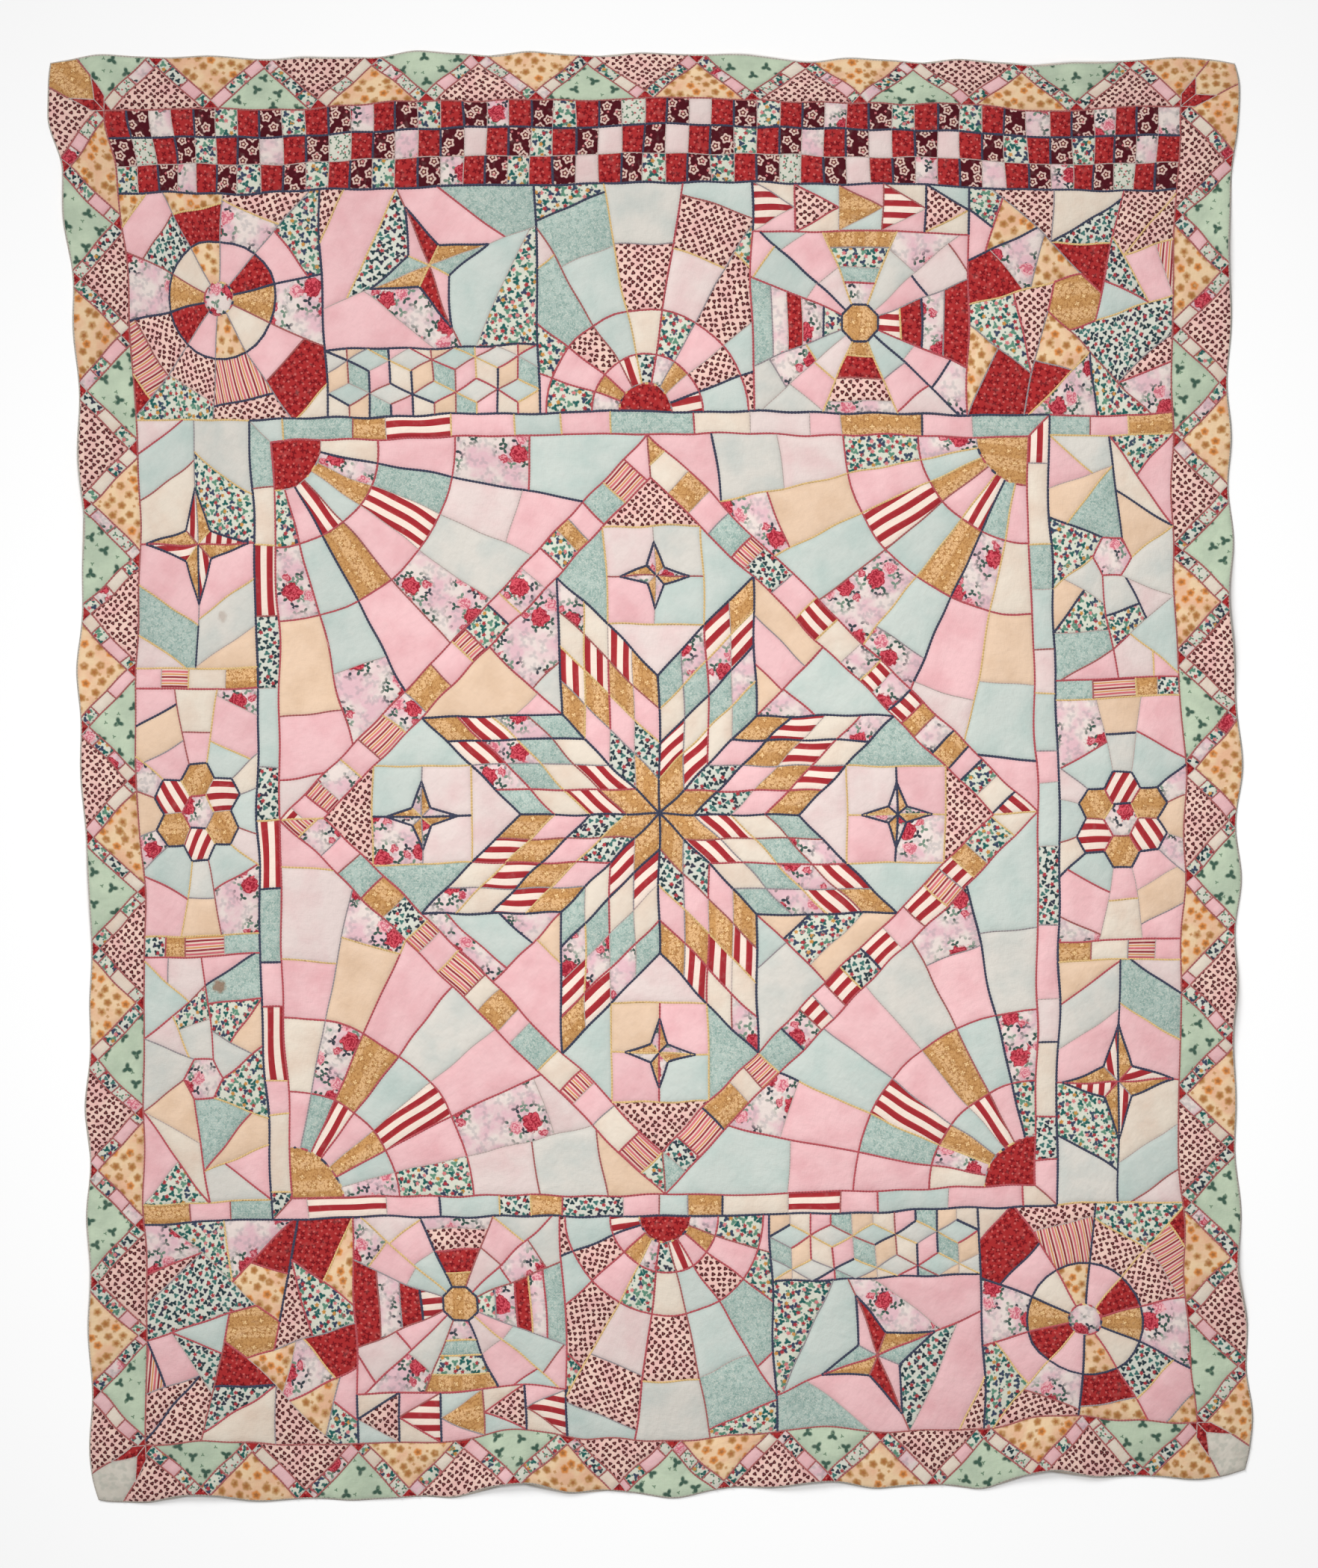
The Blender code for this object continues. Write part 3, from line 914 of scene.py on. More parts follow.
def sew_seams():
    """Numbers the corners, then lays a row of stitches along every seam."""
    loops = snapped([loop for loop, _, _, _ in PATCHES])
    corners = np.array(CORNERS)
    loops = [joined(corners, loop) for loop in loops]
    for place in CORNERS:
        add_point(place, SEAM_LEVEL + JUNCTION)
    for number, loop in enumerate(loops):
        for i, j in sides(loop):
            key = (min(i, j), max(i, j))
            if key not in SEAMS:
                SEAMS[key] = Seam(*key)
            SEAMS[key].patches.append(number)
    starts, ends = (np.array([guided[k] for guided in GUIDES]) for k in (0, 1))
    for key, seam in SEAMS.items():
        seam.thread = thread_of(seam, key, starts, ends)
        seam.half, height, _ = THREADS[seam.thread]
        a, b = (CORNERS[n] for n in key)
        row = [
            add_point(a + (b - a) * k / seam.steps, SEAM_LEVEL + height * (STITCH_DIP if k % 2 else 1.0))
            for k in range(1, seam.steps)
        ]
        seam.points = [key[0], *row, key[1]]
    return loops


def offsets(points, starts, ends):
    """Each point's distance from each side, and how far along the side it is."""
    runs = ends - starts
    lengths = abs(runs)
    on = (points[:, None] - starts) * (runs / lengths).conjugate()
    along = np.clip(on.real, 0, lengths)
    return abs(on - along), along


def within(points, loop):
    """Which points lie inside a loop."""
    inside = np.zeros(len(points), bool)
    for a, b in zip(loop, np.roll(loop, -1)):
        if a.imag != b.imag:
            share = (points.imag - a.imag) * (b.real - a.real) / (b.imag - a.imag)
            inside ^= ((a.imag > points.imag) != (b.imag > points.imag)) & (points.real < a.real + share)
    return inside


def thread_row(starts, ends, halves, flips, steps):
    """Points along the thread's edge inside a patch, wide and narrow in turn."""
    ways = (ends - starts) / abs(ends - starts)
    count = len(starts)
    mitres = []
    for e in range(count):
        before, here = ways[e - 1], ways[e]
        bend = (before.conjugate() * here).imag
        if abs(bend) < STRAIGHT:
            mitres.append(starts[e] + 1j * (before * halves[e - 1] + here * halves[e]) / 2)
        else:
            along = (halves[e - 1] - (1j * here * halves[e] * before.conjugate()).imag) / bend
            mitres.append(starts[e] + here * (1j * halves[e] + along))
    points = []
    for e in range(count):
        first, last = (((mitres[n % count] - starts[e]) * ways[e].conjugate()).real for n in (e, e + 1))
        points.append(mitres[e])
        step = abs(ends[e] - starts[e]) / steps[e]
        for k in range(1, steps[e]):
            if first + MITRE_CLEAR * step < k * step < last - MITRE_CLEAR * step:
                wide = STITCH_WIDE if (steps[e] - k if flips[e] else k) % 2 else STITCH_THIN
                points.append(starts[e] + ways[e] * (k * step + 1j * halves[e] * wide))
    return np.array(points)


def face_points(starts, ends, halves, outline):
    """Points inside a patch: a row along its threads, then a lattice."""
    points = []
    for a, b, half in zip(starts, ends, halves):
        way, length = (b - a) / abs(b - a), abs(b - a)
        count = max(1, round(length / ROW_STEP))
        points += [a + way * (length * (k + 0.5) / count + 1j * (half + ROW_GAP)) for k in range(count)]
    clear = [0.85 * ROW_GAP] * len(points)
    (left, right), (low, high) = (
        (math.floor(way.min() / LATTICE), math.ceil(way.max() / LATTICE) + 1)
        for way in (outline.real, outline.imag)
    )
    for row in range(low, high):
        points += list((np.arange(left, right) + (row % 2) / 2) * LATTICE + 1j * row * LATTICE)
    clear += [ROW_GAP + 0.5 * LATTICE] * (len(points) - len(clear))
    points = np.array(points)
    far, _ = offsets(points, starts, ends)
    return points[(far > halves + np.array(clear)[:, None]).all(axis=1) & within(points, outline)]


def ring_of(count):
    """Numbers from 0, each tied to the next and the last to the first."""
    return sides(list(range(count)))


def triangles(points, ties):
    """Places, triangles and each place's points, for points in a loop with some of them tied."""
    spots, _, faces, sources, *_ = delaunay_2d_cdt(
        [(p.real, p.imag) for p in points], ties, [], 1, MESH_NEAR)
    return spots, faces, sources


def puffed(places, starts, ends, seams, halves):
    """How high points of a patch's face stand, and how far they are from the nearest seam."""
    far, along = offsets(places, starts, ends)
    gap = np.maximum(far - halves, 1e-5)
    depth = (gap ** -4).sum(axis=1) ** -0.25
    rise = SEAM_LEVEL + PUFF * (1 - (1 - np.minimum(depth / PUFF_REACH, 1)) ** 2)
    waves, phases = (np.array(row) for row in zip(*((seam.wave, seam.phase) for seam in seams)))
    pulls = np.exp(-gap / PUCKER_REACH) * np.minimum(gap / PUCKER_START, 1)
    pulls = pulls * np.sin(math.tau * along / waves + phases)
    return rise + PUCKER * pulls.sum(axis=1), depth


def worked(number, loop):
    """The faces of one patch with half the thread round it: points, material and print of each, its tone."""
    flat, cloth, turn, _ = PATCHES[number]
    hoop = sides(loop)
    seams, rows = zip(*(seam_of(i, j) for i, j in hoop))
    rim = np.array([n for row in rows for n in row[:-1]])
    starts, ends = (np.array([CORNERS[side[k]] for side in hoop]) for k in (0, 1))
    halves = np.array([seam.half for seam in seams])
    outline = np.array([PLACE[n] for n in rim])
    edge = thread_row(starts, ends, halves, [i > j for i, j in hoop], [seam.steps for seam in seams])
    kept = (offsets(edge, starts, ends)[0] > EDGE_CLEAR * halves).all(axis=1) & within(edge, outline)
    numbers = np.cumsum(kept) - 1 + len(rim)
    after = np.roll(np.arange(len(edge)), -1)
    tied = kept & kept[after] & (abs(edge - edge[after]) < 4 * RIM_STEP)
    ties = list(zip(numbers[tied].tolist(), numbers[after][tied].tolist()))
    ties = ring_of(len(rim)) + ties
    points = np.concatenate([outline, edge[kept], face_points(starts, ends, halves, outline)])
    spots, faces, sources = triangles(points, ties)
    ids = np.array([min(source, default=len(rim)) for source in sources])
    new = ids >= len(rim)
    ids[~new] = rim[ids[~new]]
    places = np.array([complex(*spot) for spot in spots])[new]
    rise, depth = puffed(places, starts, ends, seams, halves)
    ids[new] = [add_point(*point) for point in zip(places.tolist(), rise.tolist(), depth.tolist())]
    faces = np.array(faces)
    corners = np.array([PLACE[n] for n in ids])[faces]
    far, _ = offsets(corners.mean(axis=1), starts, ends)
    nearest = (far / halves).argmin(axis=1)
    is_thread = far[np.arange(len(faces)), nearest] < THREAD_SHARE * halves[nearest]
    ways = (ends - starts) / abs(ends - starts)
    origin = centre(flat) + complex(DICE.uniform(-2, 2), DICE.uniform(-2, 2))
    prints = np.where(
        is_thread[:, None],
        (corners - starts[nearest][:, None]) * ways[nearest].conjugate()[:, None],
        (corners - origin) * cmath.rect(1, -turn),
    )
    names = [
        "thread_" + seams[side].thread if thread else cloth for side, thread in zip(nearest, is_thread)
    ]
    return ids[faces].tolist(), names, prints, DICE.random()


# Sheets

UNDER = "under"
HEM_OUT = 0.0007  # how far the hem's rolled edge stands out, and its height
HEM_AT = 0.0009
ISLAND = (0.01, 0.09, 0.98, 0.9)  # the upper face's place on its map: left, low, width, height
UNDER_ISLAND = (0.01, 0.01, 0.98, 0.06)
HEM_MAP = 0.0015  # widths of the hem and of a wall on the map
WALL_MAP = 0.004
# Slow waves of the upper face: length, heading, phase
SLOW_WAVES = ((0.31, 0.4, 1.0), (0.23, 1.7, 2.2), (0.14, 2.6, 0.3), (0.11, 0.9, 4.0))
SLOW_RISE = 0.00028


def hem_way(place):
    """The way out of the cloth at the hem."""
    across = (place.real > FIELD_W + BORDER - 1e-4) - (place.real < 1e-4 - BORDER)
    up = (place.imag > INNER_H + BORDER - 1e-4) - (place.imag < 1e-4 - BORDER)
    return complex(across, up)


def heights_at(points):
    """The underside's height, and how far ridges and slow waves raise the upper face."""
    u, v = points.real, points.imag
    waves = sum(
        np.sin(math.tau * (u * math.cos(turn) + v * math.sin(turn)) / length + phase)
        for length, turn, phase in SLOW_WAVES
    )
    return lift(u, v), ridge_height(u, v) + SLOW_RISE * (waves + 2)


class Sheet:
    """The faces of one closed sheet, as it is put together."""

    def __init__(self):
        self.numbers = {}  # (level, point) to the mesh's own number
        self.points = []  # place in the pattern, height over the underside, distance from the nearest seam
        self.faces = []
        self.names = []  # each face's material
        self.prints = []  # each face corner's place in the print, and the tone
        self.maps = []  # each face corner's place on the map, and its island

    def corner(self, level, n, shift=0.0):
        """A point's own number and its place on the map."""
        place = PLACE[n]
        if (level, n) not in self.numbers:
            self.numbers[level, n] = len(self.points)
            self.points.append({
                "top": (place, RISE[n], SEAM_DEPTH[n]),
                "low": (place, 0.0, 0.0),
                "hem": (place + hem_way(place) * HEM_OUT, HEM_AT, 0.0),
            }[level])
        return self.numbers[level, n], place + shift

    def face(self, material, corners, spots=None, tone=0.5, island=0):
        self.faces.append([number for number, _ in corners])
        self.names.append(material)
        if spots is None:
            spots = [self.points[number][0] for number, _ in corners]
        self.prints.extend((p.real, p.imag, tone) for p in spots)
        self.maps.extend((place, island) for _, place in corners)

    def cover(self, loop, ids, names, prints, tone):
        """A patch's upper face and the underside below it, whose area it returns."""
        for row, name, spots in zip(ids, names, prints):
            self.face(name, [self.corner("top", n) for n in row], spots, tone)
        corners = [CORNERS[n] for n in loop]
        _, parts, sources = triangles(corners, ring_of(len(loop)))
        for part in parts:
            self.face(UNDER, [self.corner("low", loop[min(sources[n])]) for n in reversed(part)], island=1)
        return area(corners)

    def wall(self, i, j):
        """The wall below a seam where the sheet ends, with the hem's rolled edge on it."""
        seam, ids = seam_of(i, j)
        out = -1j * (CORNERS[j] - CORNERS[i]) / abs(CORNERS[j] - CORNERS[i])
        row = [self.corner("top", n) for n in ids]
        if seam.thread == "hem":
            top, row = row, [self.corner("hem", n, out * HEM_MAP) for n in ids]
            for a, b, c, d in zip(top, row, row[1:], top[1:]):
                self.face("thread_hem", [a, b, c, d])
        half = len(row) // 2
        ends = [self.corner("low", n, out * WALL_MAP) for n in (i, j)]
        for k, (a, b) in enumerate(zip(row, row[1:])):
            self.face(UNDER, [a, ends[k >= half], b])
        self.face(UNDER, [row[half], *ends])

    def mesh(self, name):
        """The laid mesh with its materials, prints and map, and its width and length."""
        place, up, depth = (np.array(column) for column in zip(*self.points))
        x, y = laid(place)
        base, extra = heights_at(place)
        z = base + up + extra * np.clip(up / SEAM_LEVEL, 0, 1)
        mesh = bpy.data.meshes.new(name)
        mesh.from_pydata(np.stack([x, y, z], axis=1).tolist(), [], self.faces)
        kinds = sorted(set(self.names))
        for kind in kinds:
            mesh.materials.append(material_of(kind))
        mesh.polygons.foreach_set("material_index", [kinds.index(kind) for kind in self.names])
        mesh.shade_smooth()
        chart, island = (np.array(column) for column in zip(*self.maps))
        spread = np.stack([chart.real, chart.imag], axis=1)
        least, most = spread.min(axis=0), spread.max(axis=0)
        areas = np.array([ISLAND, UNDER_ISLAND])[island]
        uv = areas[:, :2] + (spread - least) / (most - least) * areas[:, 2:]
        mesh.uv_layers.new(name="OFBake").data.foreach_set("uv", uv.ravel())
        seen, sharp = {}, set()
        for row, kind in zip(self.faces, self.names):
            for a, b in sides(row):
                key = (min(a, b), max(a, b))
                if seen.setdefault(key, kind in PRINTS) != (kind in PRINTS):
                    sharp.add(key)
        lay = np.stack([place.real, place.imag, depth], axis=1)
        for attribute, kind, domain, field, values in (
            ("print", "FLOAT_VECTOR", "CORNER", "vector", np.array(self.prints).ravel()),
            ("lay", "FLOAT_VECTOR", "POINT", "vector", lay.ravel()),
            ("sharp_edge", "BOOLEAN", "EDGE", "value", [key in sharp for key in mesh.edge_keys]),
        ):
            mesh.attributes.new(attribute, kind, domain).data.foreach_set(field, values)
        mesh.update()
        return mesh, (float(np.ptp(x)), float(np.ptp(y)))


def build_tile(name, numbers, loops, work):
    """One closed sheet of these patches, in the place of the nodes they belong to."""
    sheet = Sheet()
    flat_area = sum(sheet.cover(loops[number], *work[number]) for number in numbers)
    for number in numbers:
        for i, j in sides(loops[number]):
            if len(set(numbers).intersection(seam_of(i, j)[0].patches)) < 2:
                sheet.wall(i, j)
    mesh, size = sheet.mesh(name)
    thing = place_thing(name, mesh)
    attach(thing, "root")
    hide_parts(*sorted({PATCHES[n][3] for n in numbers}))


# Cloth

PRINT_RES = 0.0008  # softness of a printed edge
CLOTH_HALF = (1.0, INNER_H / 2 + BORDER)
STAINS = ((complex(0.134, 0.733), 0.013, 0.75), (complex(0.152, 1.332), 0.009, 0.3))
AGE = (0.96, 0.91, 0.88)
WEAVE = 0.0012
EDGE_SHADE = 0.095  # painted shade: light lost a CLOTH_HALF away from the brightest spot, for the light's falloff towards the edges and corners
# the brightest spot of that painted shade, where the cloth is not darkened
BRIGHTEST_SPOT = complex(FIELD_MIDDLE.real, INNER_H * 0.6)


def dye(*tones):
    """A colour from tones of 0 to 255, a little yellowed."""
    return tuple(((tone / 255 + 0.055) / 1.055) ** 2.4 * age for tone, age in zip(tones, AGE))


class Dyer:
    """The nodes of one material, and the colour printed so far."""

    def __init__(self, name):
        self.material = bpy.data.materials.new(name)
        self.material.use_nodes = True
        self.nodes = self.material.node_tree.nodes
        self.links = self.material.node_tree.links
        x, y, self.tone = self.parts(self.node("Attribute", attribute_name="print").outputs["Vector"])
        u, v, self.depth = self.parts(self.node("Attribute", attribute_name="lay").outputs["Vector"])
        self.x, self.y = x, y
        self.flat, self.place = self.vector(x, y), self.vector(u, v)
        self.colour = None

    def feed(self, socket, value):
        if isinstance(value, bpy.types.NodeSocket):
            self.links.new(value, socket)
        elif socket.type == "RGBA":
            socket.default_value = (*value, 1)
        else:
            socket.default_value = value

    def node(self, kind, inputs=None, **settings):
        made = self.nodes.new("ShaderNode" + kind)
        for key, value in settings.items():
            setattr(made, key, value)
        for key, value in (inputs or {}).items():
            self.feed(made.inputs[key], value)
        return made

    def parts(self, vector):
        return tuple(self.node("SeparateXYZ", {0: vector}).outputs)

    def vector(self, *parts):
        return self.node("CombineXYZ", dict(enumerate(parts))).outputs[0]

    def moved(self, vector, scale, place=(0, 0, 0), turn=0.0):
        inputs = {"Vector": vector, "Location": place, "Rotation": (0, 0, turn), "Scale": scale}
        return self.node("Mapping", inputs).outputs[0]

    def calc(self, operation, *values, clamp=False):
        made = self.node("Math", dict(enumerate(values)), operation=operation, use_clamp=clamp)
        return made.outputs[0]

    def times(self, first, second):
        return self.calc("MULTIPLY", first, second)

    def wave(self, way, length):
        return self.calc("SINE", self.times(way, math.tau / length))

    def line(self, value, slope, start, clamp=False):
        return self.calc("MULTIPLY_ADD", value, slope, start, clamp=clamp)

    def vectors(self, operation, first, second, output="Value"):
        return self.node("VectorMath", {0: first, 1: second}, operation=operation).outputs[output]

    def rise(self, value, start, end, most=1.0):
        """From 0 to the most as the value goes from start to end."""
        return self.node("MapRange", {0: value, 1: start, 2: end, 4: most}).outputs[0]

    def mix(self, share, first, second, blend="MIX"):
        made = self.node("Mix", data_type="RGBA", blend_type=blend)
        for index, value in ((0, share), (6, first), (7, second)):
            self.feed(made.inputs[index], value)
        return made.outputs[2]

    def over(self, share, tones):
        """Turns this share of the colour into another."""
        self.colour = self.mix(share, self.colour, dye(*tones))

    def noise(self, vector, scale, detail=2.0):
        return self.node("TexNoise", {"Vector": vector, "Scale": scale, "Detail": detail}).outputs["Fac"]

    def scatter(self, pitch, loose=0.3, turn=math.pi / 4, shift=0.0):
        """Motifs' middles about a pitch apart: distance and angle from the nearest, and its chances."""
        place = self.moved(self.flat, (1 / pitch, 1 / pitch, 1), (shift, shift * 0.7, 0), turn)
        cells = self.node("TexVoronoi", {"Vector": place, "Scale": 1.0, "Randomness": loose},
                          voronoi_dimensions="2D").outputs
        x, y, _ = self.parts(self.vectors("SUBTRACT", place, cells["Position"], "Vector"))
        return self.times(cells["Distance"], pitch), self.calc("ARCTAN2", y, x), self.parts(cells["Color"])

    def flower(self, spot, tones, radius, count, depth, soft=PRINT_RES, share=None, strength=None):
        """Prints a flower with so many petals on each spot, turned by chance, on all or a share of them.
        Its tones are one dye's, or bands of dyes picked by chance."""
        reach, angle, chances = spot
        spin = self.line(chances[0], math.tau, self.times(angle, count))
        edge = self.line(self.calc("COSINE", spin), radius * depth, radius * (1 - depth))
        mask = self.line(self.calc("SUBTRACT", edge, reach), 1 / soft, 0.5, clamp=True)
        if share:
            mask = self.times(mask, self.calc("LESS_THAN", chances[1], share))
        if strength:
            mask = self.times(mask, strength)
        ink = self.bands(chances[2], tones) if isinstance(tones, dict) else dye(*tones)
        self.colour = self.mix(mask, self.colour, ink)

    def bands(self, across, rows):
        """Stripes across a way that goes from 0 to 1: where each starts, its tones."""
        ramp = self.node("ValToRGB", {0: across})
        ramp.color_ramp.interpolation = "CONSTANT"
        stops = ramp.color_ramp.elements
        while len(stops) < len(rows):
            stops.new(1.0)
        for stop, (start, tones) in zip(stops, rows.items()):
            stop.position = start
            stop.color = (*dye(*tones), 1)
        return ramp.outputs[0]

    def stripes(self, pitch, rows):
        self.colour = self.bands(self.calc("FRACT", self.calc("DIVIDE", self.y, pitch)), rows)

    def ground(self, tones, other, scale=18.0, low=0.42, high=0.68):
        """Cloth of one colour that turns towards another where a noise is high."""
        self.colour = dye(*tones)
        self.over(self.rise(self.noise(self.flat, scale, 3.0), low, high), other)

    def veins(self, tones, scale, width, strength):
        """Fine lines where a noise is halfway."""
        curl = self.calc("ABSOLUTE", self.calc("SUBTRACT", self.noise(self.flat, scale, 1.0), 0.5))
        self.over(self.rise(curl, width, 0.02, strength), tones)

    def lit(self, light):
        """Multiplies the colour by a light."""
        self.colour = self.mix(1.0, self.colour, self.vector(light, light, light), "MULTIPLY")

    def surface(self, relief, rough, sheen, shine):
        """The finished material, with the colour and a relief."""
        bump = self.node("Bump", {"Height": relief, "Distance": 1.0, "Strength": 0.8}).outputs[0]
        for name, value in (("Base Color", self.colour), ("Normal", bump), ("Roughness", rough),
                            ("Sheen Weight", sheen), ("Specular IOR Level", shine)):
            self.feed(self.nodes["Principled BSDF"].inputs[name], value)
        return self.material

    def cotton(self):
        """Threads, uneven dye, painted shade along the seams and towards the cloth's edges and corners,
        stains, and the weave's relief.
        """
        slubs = self.calc("ADD", *(
            self.noise(self.moved(self.flat, scale), 1.0) for scale in ((1100, 70, 1), (70, 1100, 1))))
        fading = self.noise(self.place, 11.0, 3.0)
        creases = self.noise(self.flat, 85.0, 3.0)
        light = self.line(self.tone, 0.07, self.line(fading, 0.10, self.line(slubs, 0.10, 0.8)))
        # painted shade beside each seam: the cloth darkens over the last 4.5 mm before the thread
        near = self.calc("DIVIDE", self.depth, 0.0045, clamp=True)
        light = self.times(light, self.line(near, 0.13, 0.90))
        # painted shade: the cloth darkens with the square of its distance from the brightest spot, for the
        # light's falloff towards the edges and corners
        (half_u, half_v), (u, v) = CLOTH_HALF, (BRIGHTEST_SPOT.real, BRIGHTEST_SPOT.imag)
        out = self.moved(self.place, (1 / half_u, 1 / half_v, 1), (-u / half_u, -v / half_v, 0))
        self.lit(self.times(light, self.line(self.vectors("DOT_PRODUCT", out, out), -EDGE_SHADE, 1.0)))
        self.over(self.rise(creases, 0.55, 0.8, 0.08), (238, 230, 222))
        for spot, radius, strength in STAINS:
            gap = self.vectors("DISTANCE", self.place, (spot.real, spot.imag, 0))
            gap = self.line(self.noise(self.place, 120.0), radius, gap)
            self.over(self.rise(gap, radius * 1.6, radius * 1.1, strength), (140, 96, 66))
        weave = self.times(self.wave(self.x, WEAVE), self.wave(self.y, WEAVE))
        relief = self.line(creases, 0.0016, self.line(slubs, 0.0003, self.times(weave, 0.000012)))
        return self.surface(relief, self.line(fading, 0.14, 0.79), 0.05, 0.15)


def plain(tones, other):
    """Cloth of one colour, a little unevenly dyed."""
    return lambda d: d.ground(tones, other)


def maroon(d):
    """Small dark buds close together in staggered rows on a pale ground."""
    d.ground((248, 216, 204), (240, 194, 190), 30.0, 0.4, 0.65)
    spot = d.scatter(0.0088, 0.4)
    d.flower(spot, (78, 26, 32), 0.0035, 3, 0.14, 0.001)
    d.flower(spot, (140, 74, 72), 0.0009, 1, 0, 0.001)


def red(d):
    """Red with small paler flowers and darker ones between them."""
    d.colour = dye(176, 46, 48)
    d.flower(d.scatter(0.0112, 0.5, 0.2, 0.4), (126, 16, 26), 0.0046, 4, 0.3, 0.0016)
    d.flower(d.scatter(0.0098, 0.4), (212, 108, 104), 0.0021, 4, 0.28, share=0.8)


def bloom(d):
    """White ring flowers with dark hearts on dark maroon."""
    d.colour = dye(80, 12, 26)
    spot = d.scatter(0.0205, 0.45)
    d.flower(spot, (230, 204, 194), 0.0082, 5, 0.14, 0.0012)
    d.flower(spot, (104, 24, 38), 0.0048, 5, 0.12, 0.0012)
    d.flower(spot, (238, 214, 190), 0.0019, 1, 0, 0.0012)
    d.flower(d.scatter(0.0115, 0.5, 0.3, 3.3), (206, 120, 126), 0.0022, 4, 0.2, share=0.3)


def garden(d):
    """Leaves, buds and dots of many colours crowded on greenish white."""
    d.colour = dye(222, 228, 214)
    greens = {0: (34, 100, 96), 0.45: (100, 150, 128), 0.75: (60, 74, 100)}
    d.flower(d.scatter(0.0122, 0.7, 0.5), greens, 0.0058, 3, 0.26, 0.0014)
    pinks = {0: (176, 58, 68), 0.5: (218, 132, 136), 0.8: (206, 150, 78)}
    d.flower(d.scatter(0.0138, 0.6, 0.9, 5.1), pinks, 0.0037, 5, 0.18, 0.0014, 0.85)
    d.flower(d.scatter(0.0078, 0.6, 0.2, 7.7), (86, 126, 122), 0.0014, 1, 0, share=0.4)


def ink(d):
    """Dark blue green leaves crowded on greenish white, with a red bud here and there."""
    d.colour = dye(220, 226, 216)
    leaves = {0: (38, 62, 70), 0.45: (66, 118, 114), 0.8: (56, 60, 78)}
    d.flower(d.scatter(0.0098, 0.6, 0.5), leaves, 0.0046, 3, 0.22, 0.0012)
    d.flower(d.scatter(0.0188, 0.6, 0.9, 5.1), (178, 62, 72), 0.0036, 5, 0.18, 0.0012, 0.8)


def sprig(d):
    """Thin sprigs on pale green grey."""
    d.colour = dye(218, 222, 210)
    d.flower(d.scatter(0.0125, 0.4), (100, 134, 114), 0.0046, 3, 0.44)
    d.flower(d.scatter(0.0098, 0.5, 0.2, 2.2), (196, 96, 104), 0.0019, 4, 0.2, share=0.6)


def rose(d):
    """Bunches of crimson and pink roses with dark leaves, on clouds of pink."""
    d.ground((238, 228, 224), (232, 196, 206), 24.0, 0.42, 0.58)
    d.flower(d.scatter(0.0182, 0.9, 0.9, 5.5), (156, 160, 166), 0.0078, 3, 0.36, 0.003, strength=0.34)
    reach, angle, chances = d.scatter(0.084, 0.5, 0.6)
    leaves = {0: (62, 92, 84), 0.5: (120, 148, 132), 0.8: (56, 66, 76)}
    near = d.rise(reach, 0.042, 0.03)
    d.flower(d.scatter(0.0152, 0.9, 0.3, 2.0), leaves, 0.0078, 3, 0.42, 0.0016, 0.9, near)
    heading = d.line(chances[0], math.tau, angle)
    bunch = d.vector(*(d.times(reach, d.calc(wave, heading)) for wave in ("COSINE", "SINE")))
    ragged = d.noise(d.flat, 120.0, 3.0)
    for across, up, radius, dark, light in (
        (-0.018, -0.008, 0.0115, (212, 112, 132), (246, 194, 200)),
        (0.006, 0.005, 0.0155, (158, 32, 52), (226, 92, 108)),
        (0.026, -0.008, 0.0075, (188, 66, 86), (238, 160, 170)),
    ):
        gap = d.calc("SUBTRACT", d.vectors("DISTANCE", bunch, (across, up, 0)), 0.009)
        gap = d.line(ragged, 0.018, gap)
        swirl = d.calc("SINE", d.line(ragged, 16.0, d.times(gap, 700.0)))
        petal = d.mix(d.line(swirl, 0.55, 0.4, clamp=True), dye(*dark), dye(*light))
        d.colour = d.mix(d.rise(gap, radius, radius - 0.002), d.colour, petal)


def gold(d):
    """Ochre with scrolls in lighter and darker columns."""
    d.colour = dye(208, 160, 102)
    d.over(d.line(d.wave(d.y, 0.038), 1.6, 0.5, clamp=True), (232, 190, 138))
    spot = d.scatter(0.019, 0.35)
    d.flower(spot, (184, 134, 78), 0.0074, 4, 0.34, 0.0016)
    d.flower(spot, (248, 212, 156), 0.0042, 4, 0.3)
    d.veins((170, 120, 70), 170.0, 0.045, 0.8)


def teal(d):
    """Pale leaves and fine veins on grey green."""
    d.ground((176, 200, 194), (160, 186, 180), 22.0, 0.4, 0.65)
    d.flower(d.scatter(0.0136, 0.6, 0.4, 1.7), (132, 166, 160), 0.0064, 3, 0.36, 0.0014, strength=0.6)
    d.veins((216, 226, 218), 230.0, 0.05, 0.6)


def stripe(d):
    """Bold red and cream stripes of one width."""
    d.stripes(0.0196, {0: (176, 54, 58), 0.1: (168, 46, 54), 0.48: (250, 236, 224), 0.97: (216, 140, 140)})


def fine(d):
    """Narrow stripes."""
    pale = (238, 212, 200)
    d.stripes(0.0145, {0: (150, 50, 62), 0.2: pale, 0.34: (216, 150, 86), 0.48: pale,
                       0.6: (216, 116, 126), 0.82: pale})


def spots(d):
    """Soft orange and brown flower heads on cream."""
    d.ground((243, 216, 177), (237, 192, 158), 24.0, 0.42, 0.62)
    spot = d.scatter(0.0195, 0.5)
    petals = {0: (190, 142, 86), 0.45: (224, 146, 74), 0.8: (206, 164, 112)}
    d.flower(spot, petals, 0.0068, 5, 0.08, 0.0032)
    d.flower(spot, (176, 116, 66), 0.0036, 5, 0.16, 0.0024)
    d.flower(d.scatter(0.0135, 0.5, 0.2, 4.4), (202, 156, 108), 0.0028, 4, 0.16, 0.0018, 0.45)


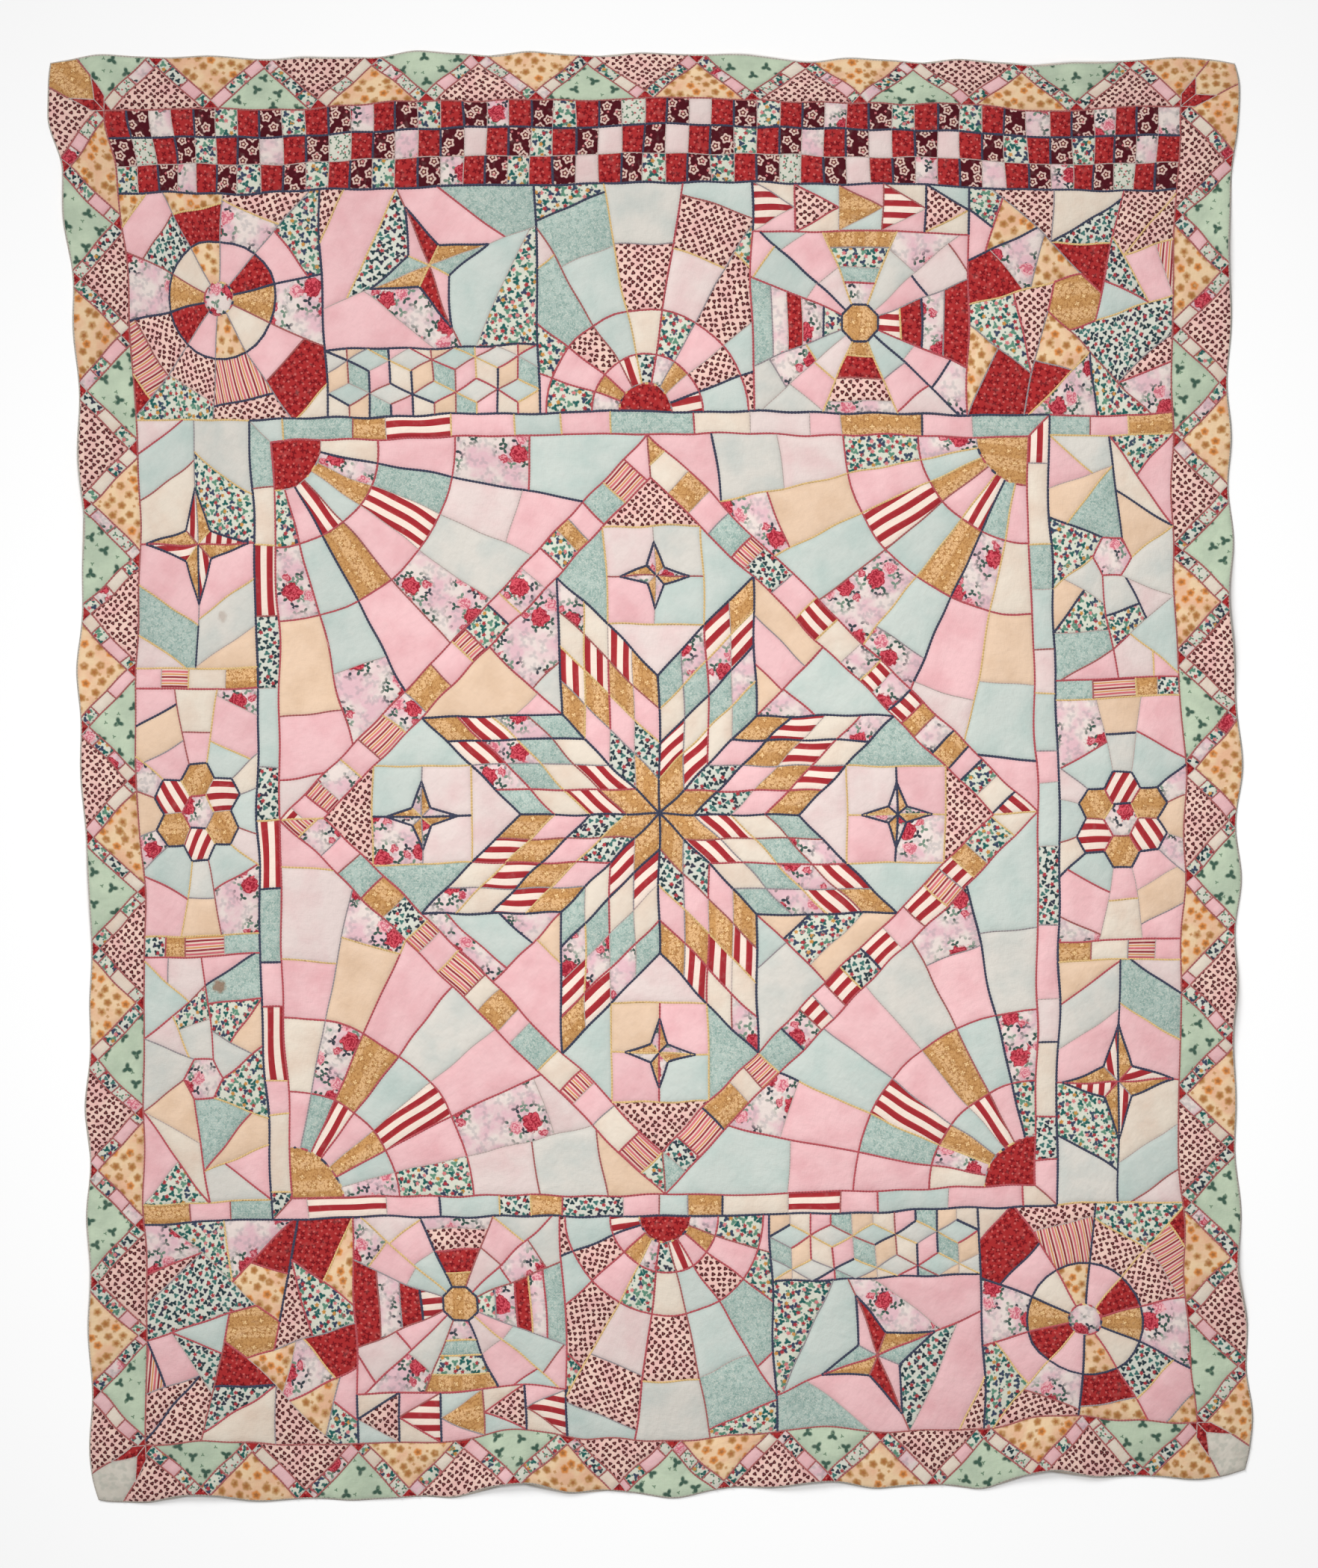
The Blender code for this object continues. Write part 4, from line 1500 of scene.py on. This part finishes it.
def mint(d):
    """Dark sprigs of three leaves far apart on green."""
    d.ground((200, 220, 196), (186, 206, 184), 20.0, 0.4, 0.62)
    d.flower(d.scatter(0.034, 0.5), (66, 98, 84), 0.0088, 3, 0.3, 0.0034)
    d.flower(d.scatter(0.017, 0.6, 0.2, 6.1), (112, 142, 118), 0.0031, 3, 0.36, 0.0016, 0.35)


def pale(d):
    """Faint grey leaves on grey white."""
    d.ground((222, 220, 210), (210, 208, 198), 26.0, 0.42, 0.62)
    d.flower(d.scatter(0.019, 0.5), (194, 198, 188), 0.0084, 3, 0.3, 0.003, strength=0.6)


PRINTS = {
    "pink": plain((244, 202, 207), (236, 186, 192)),
    "aqua": plain((206, 219, 215), (192, 211, 207)),
    "blush": plain((234, 221, 219), (230, 206, 206)),
    "mist": plain((222, 222, 216), (206, 213, 209)),
    "cream": plain((236, 228, 214), (230, 214, 198)),
    "peach": plain((238, 212, 186), (228, 200, 172)),
    "maroon": maroon, "red": red, "bloom": bloom, "garden": garden, "ink": ink, "sprig": sprig,
    "rose": rose, "gold": gold, "teal": teal, "stripe": stripe, "fine": fine, "spots": spots,
    "mint": mint, "pale": pale,
}


def thread_material(name, colour):
    """Cotton thread in short slanting stitches, with painted light and shade along each stitch."""
    d = Dyer(name)
    d.colour = colour
    twist = d.calc("SINE", d.line(d.x, math.tau / 0.0017, d.times(d.y, math.tau / 0.0022)))
    stitch = d.calc("COSINE", d.times(d.x, math.tau / STITCH))
    # painted light and shade: lighter and darker in turn every stitch's length, with a noise for unevenly
    # dyed thread
    d.lit(d.line(stitch, 0.16, d.line(d.noise(d.place, 140.0), 0.5, 0.75)))
    relief = d.line(twist, 0.00012, d.times(d.noise(d.place, 900.0), 0.0003))
    return d.surface(relief, d.line(stitch, -0.06, 0.68), 0.3, 0.35)


MATERIALS = {}


def material_of(kind):
    """The material of a cloth or a thread, made once."""
    if kind not in MATERIALS:
        if kind.startswith("thread_"):
            MATERIALS[kind] = thread_material(kind, THREADS[kind.removeprefix("thread_")][2])
        else:
            d = Dyer("cotton_" + kind)
            PRINTS.get(kind, PRINTS["cream"])(d)
            MATERIALS[kind] = d.cotton()
    return MATERIALS[kind]


def place_thing(name, data, place=(0, 0, 0), turn=(0, 0, 0)):
    """Adds an object with this data to the scene."""
    thing = bpy.data.objects.new(name, data)
    thing.location = place
    thing.rotation_euler = turn
    bpy.context.collection.objects.link(thing)
    return thing


# The scene

CAMERA_UP = 12
VIEW_H = 2.518  # height of the view at the cloth


def tiles():
    """Patches shared out between the sheets by where their middles lie."""
    loops = sew_seams()
    shares = {}
    for number, loop in enumerate(loops):
        at = centre([CORNERS[n] for n in loop])
        across, up = shares_at(at.real, at.imag)
        shares.setdefault((int(across * TILE_COLUMNS), int(up * TILE_ROWS)), []).append(number)
    work = [worked(number, loop) for number, loop in enumerate(loops)]
    for (column, row), numbers in sorted(shares.items()):
        build_tile(f"patchwork_{row + 1}_{column + 1}", numbers, loops, work)


def studio():
    """A pale floor, a soft light over the middle, a sun low at the upper left, a camera straight above."""
    bpy.ops.mesh.primitive_plane_add(size=12, location=(0, 0, -0.0003))
    floor = bpy.context.object
    floor.name = "floor"
    material = bpy.data.materials.new("pale_floor")
    material.use_nodes = True
    floor.data.materials.append(material)
    world = bpy.data.worlds.new("studio")
    world.use_nodes = True
    scene = bpy.context.scene
    scene.world = world
    scene.view_settings.view_transform = "Standard"
    shader, sky = material.node_tree.nodes["Principled BSDF"], world.node_tree.nodes["Background"]
    for node, socket, value in (
        (shader, "Base Color", (0.99, 0.99, 0.99, 1)), (shader, "Roughness", 0.9),
        (shader, "Specular IOR Level", 0.1), (sky, "Color", (1, 1, 1, 1)), (sky, "Strength", 0.36),
    ):
        node.inputs[socket].default_value = value
    key = bpy.data.lights.new("key", "SUN")
    key.energy = 1.75
    key.angle = 0.4
    place_thing("key", key, (0, 0, 3), (1.0, 0, 3.74))
    overhead = bpy.data.lights.new("overhead", "AREA")
    overhead.shape = "DISK"
    overhead.size = 1.2
    overhead.energy = 40
    place_thing("overhead", overhead, (0, 0, 3))
    lens = bpy.data.cameras.new("camera")
    lens.lens = lens.sensor_width * CAMERA_UP / VIEW_H
    lens.clip_end = 50
    scene.camera = place_thing("camera", lens, (0.0138, -0.0108, CAMERA_UP))


pattern()
tiles()
studio()
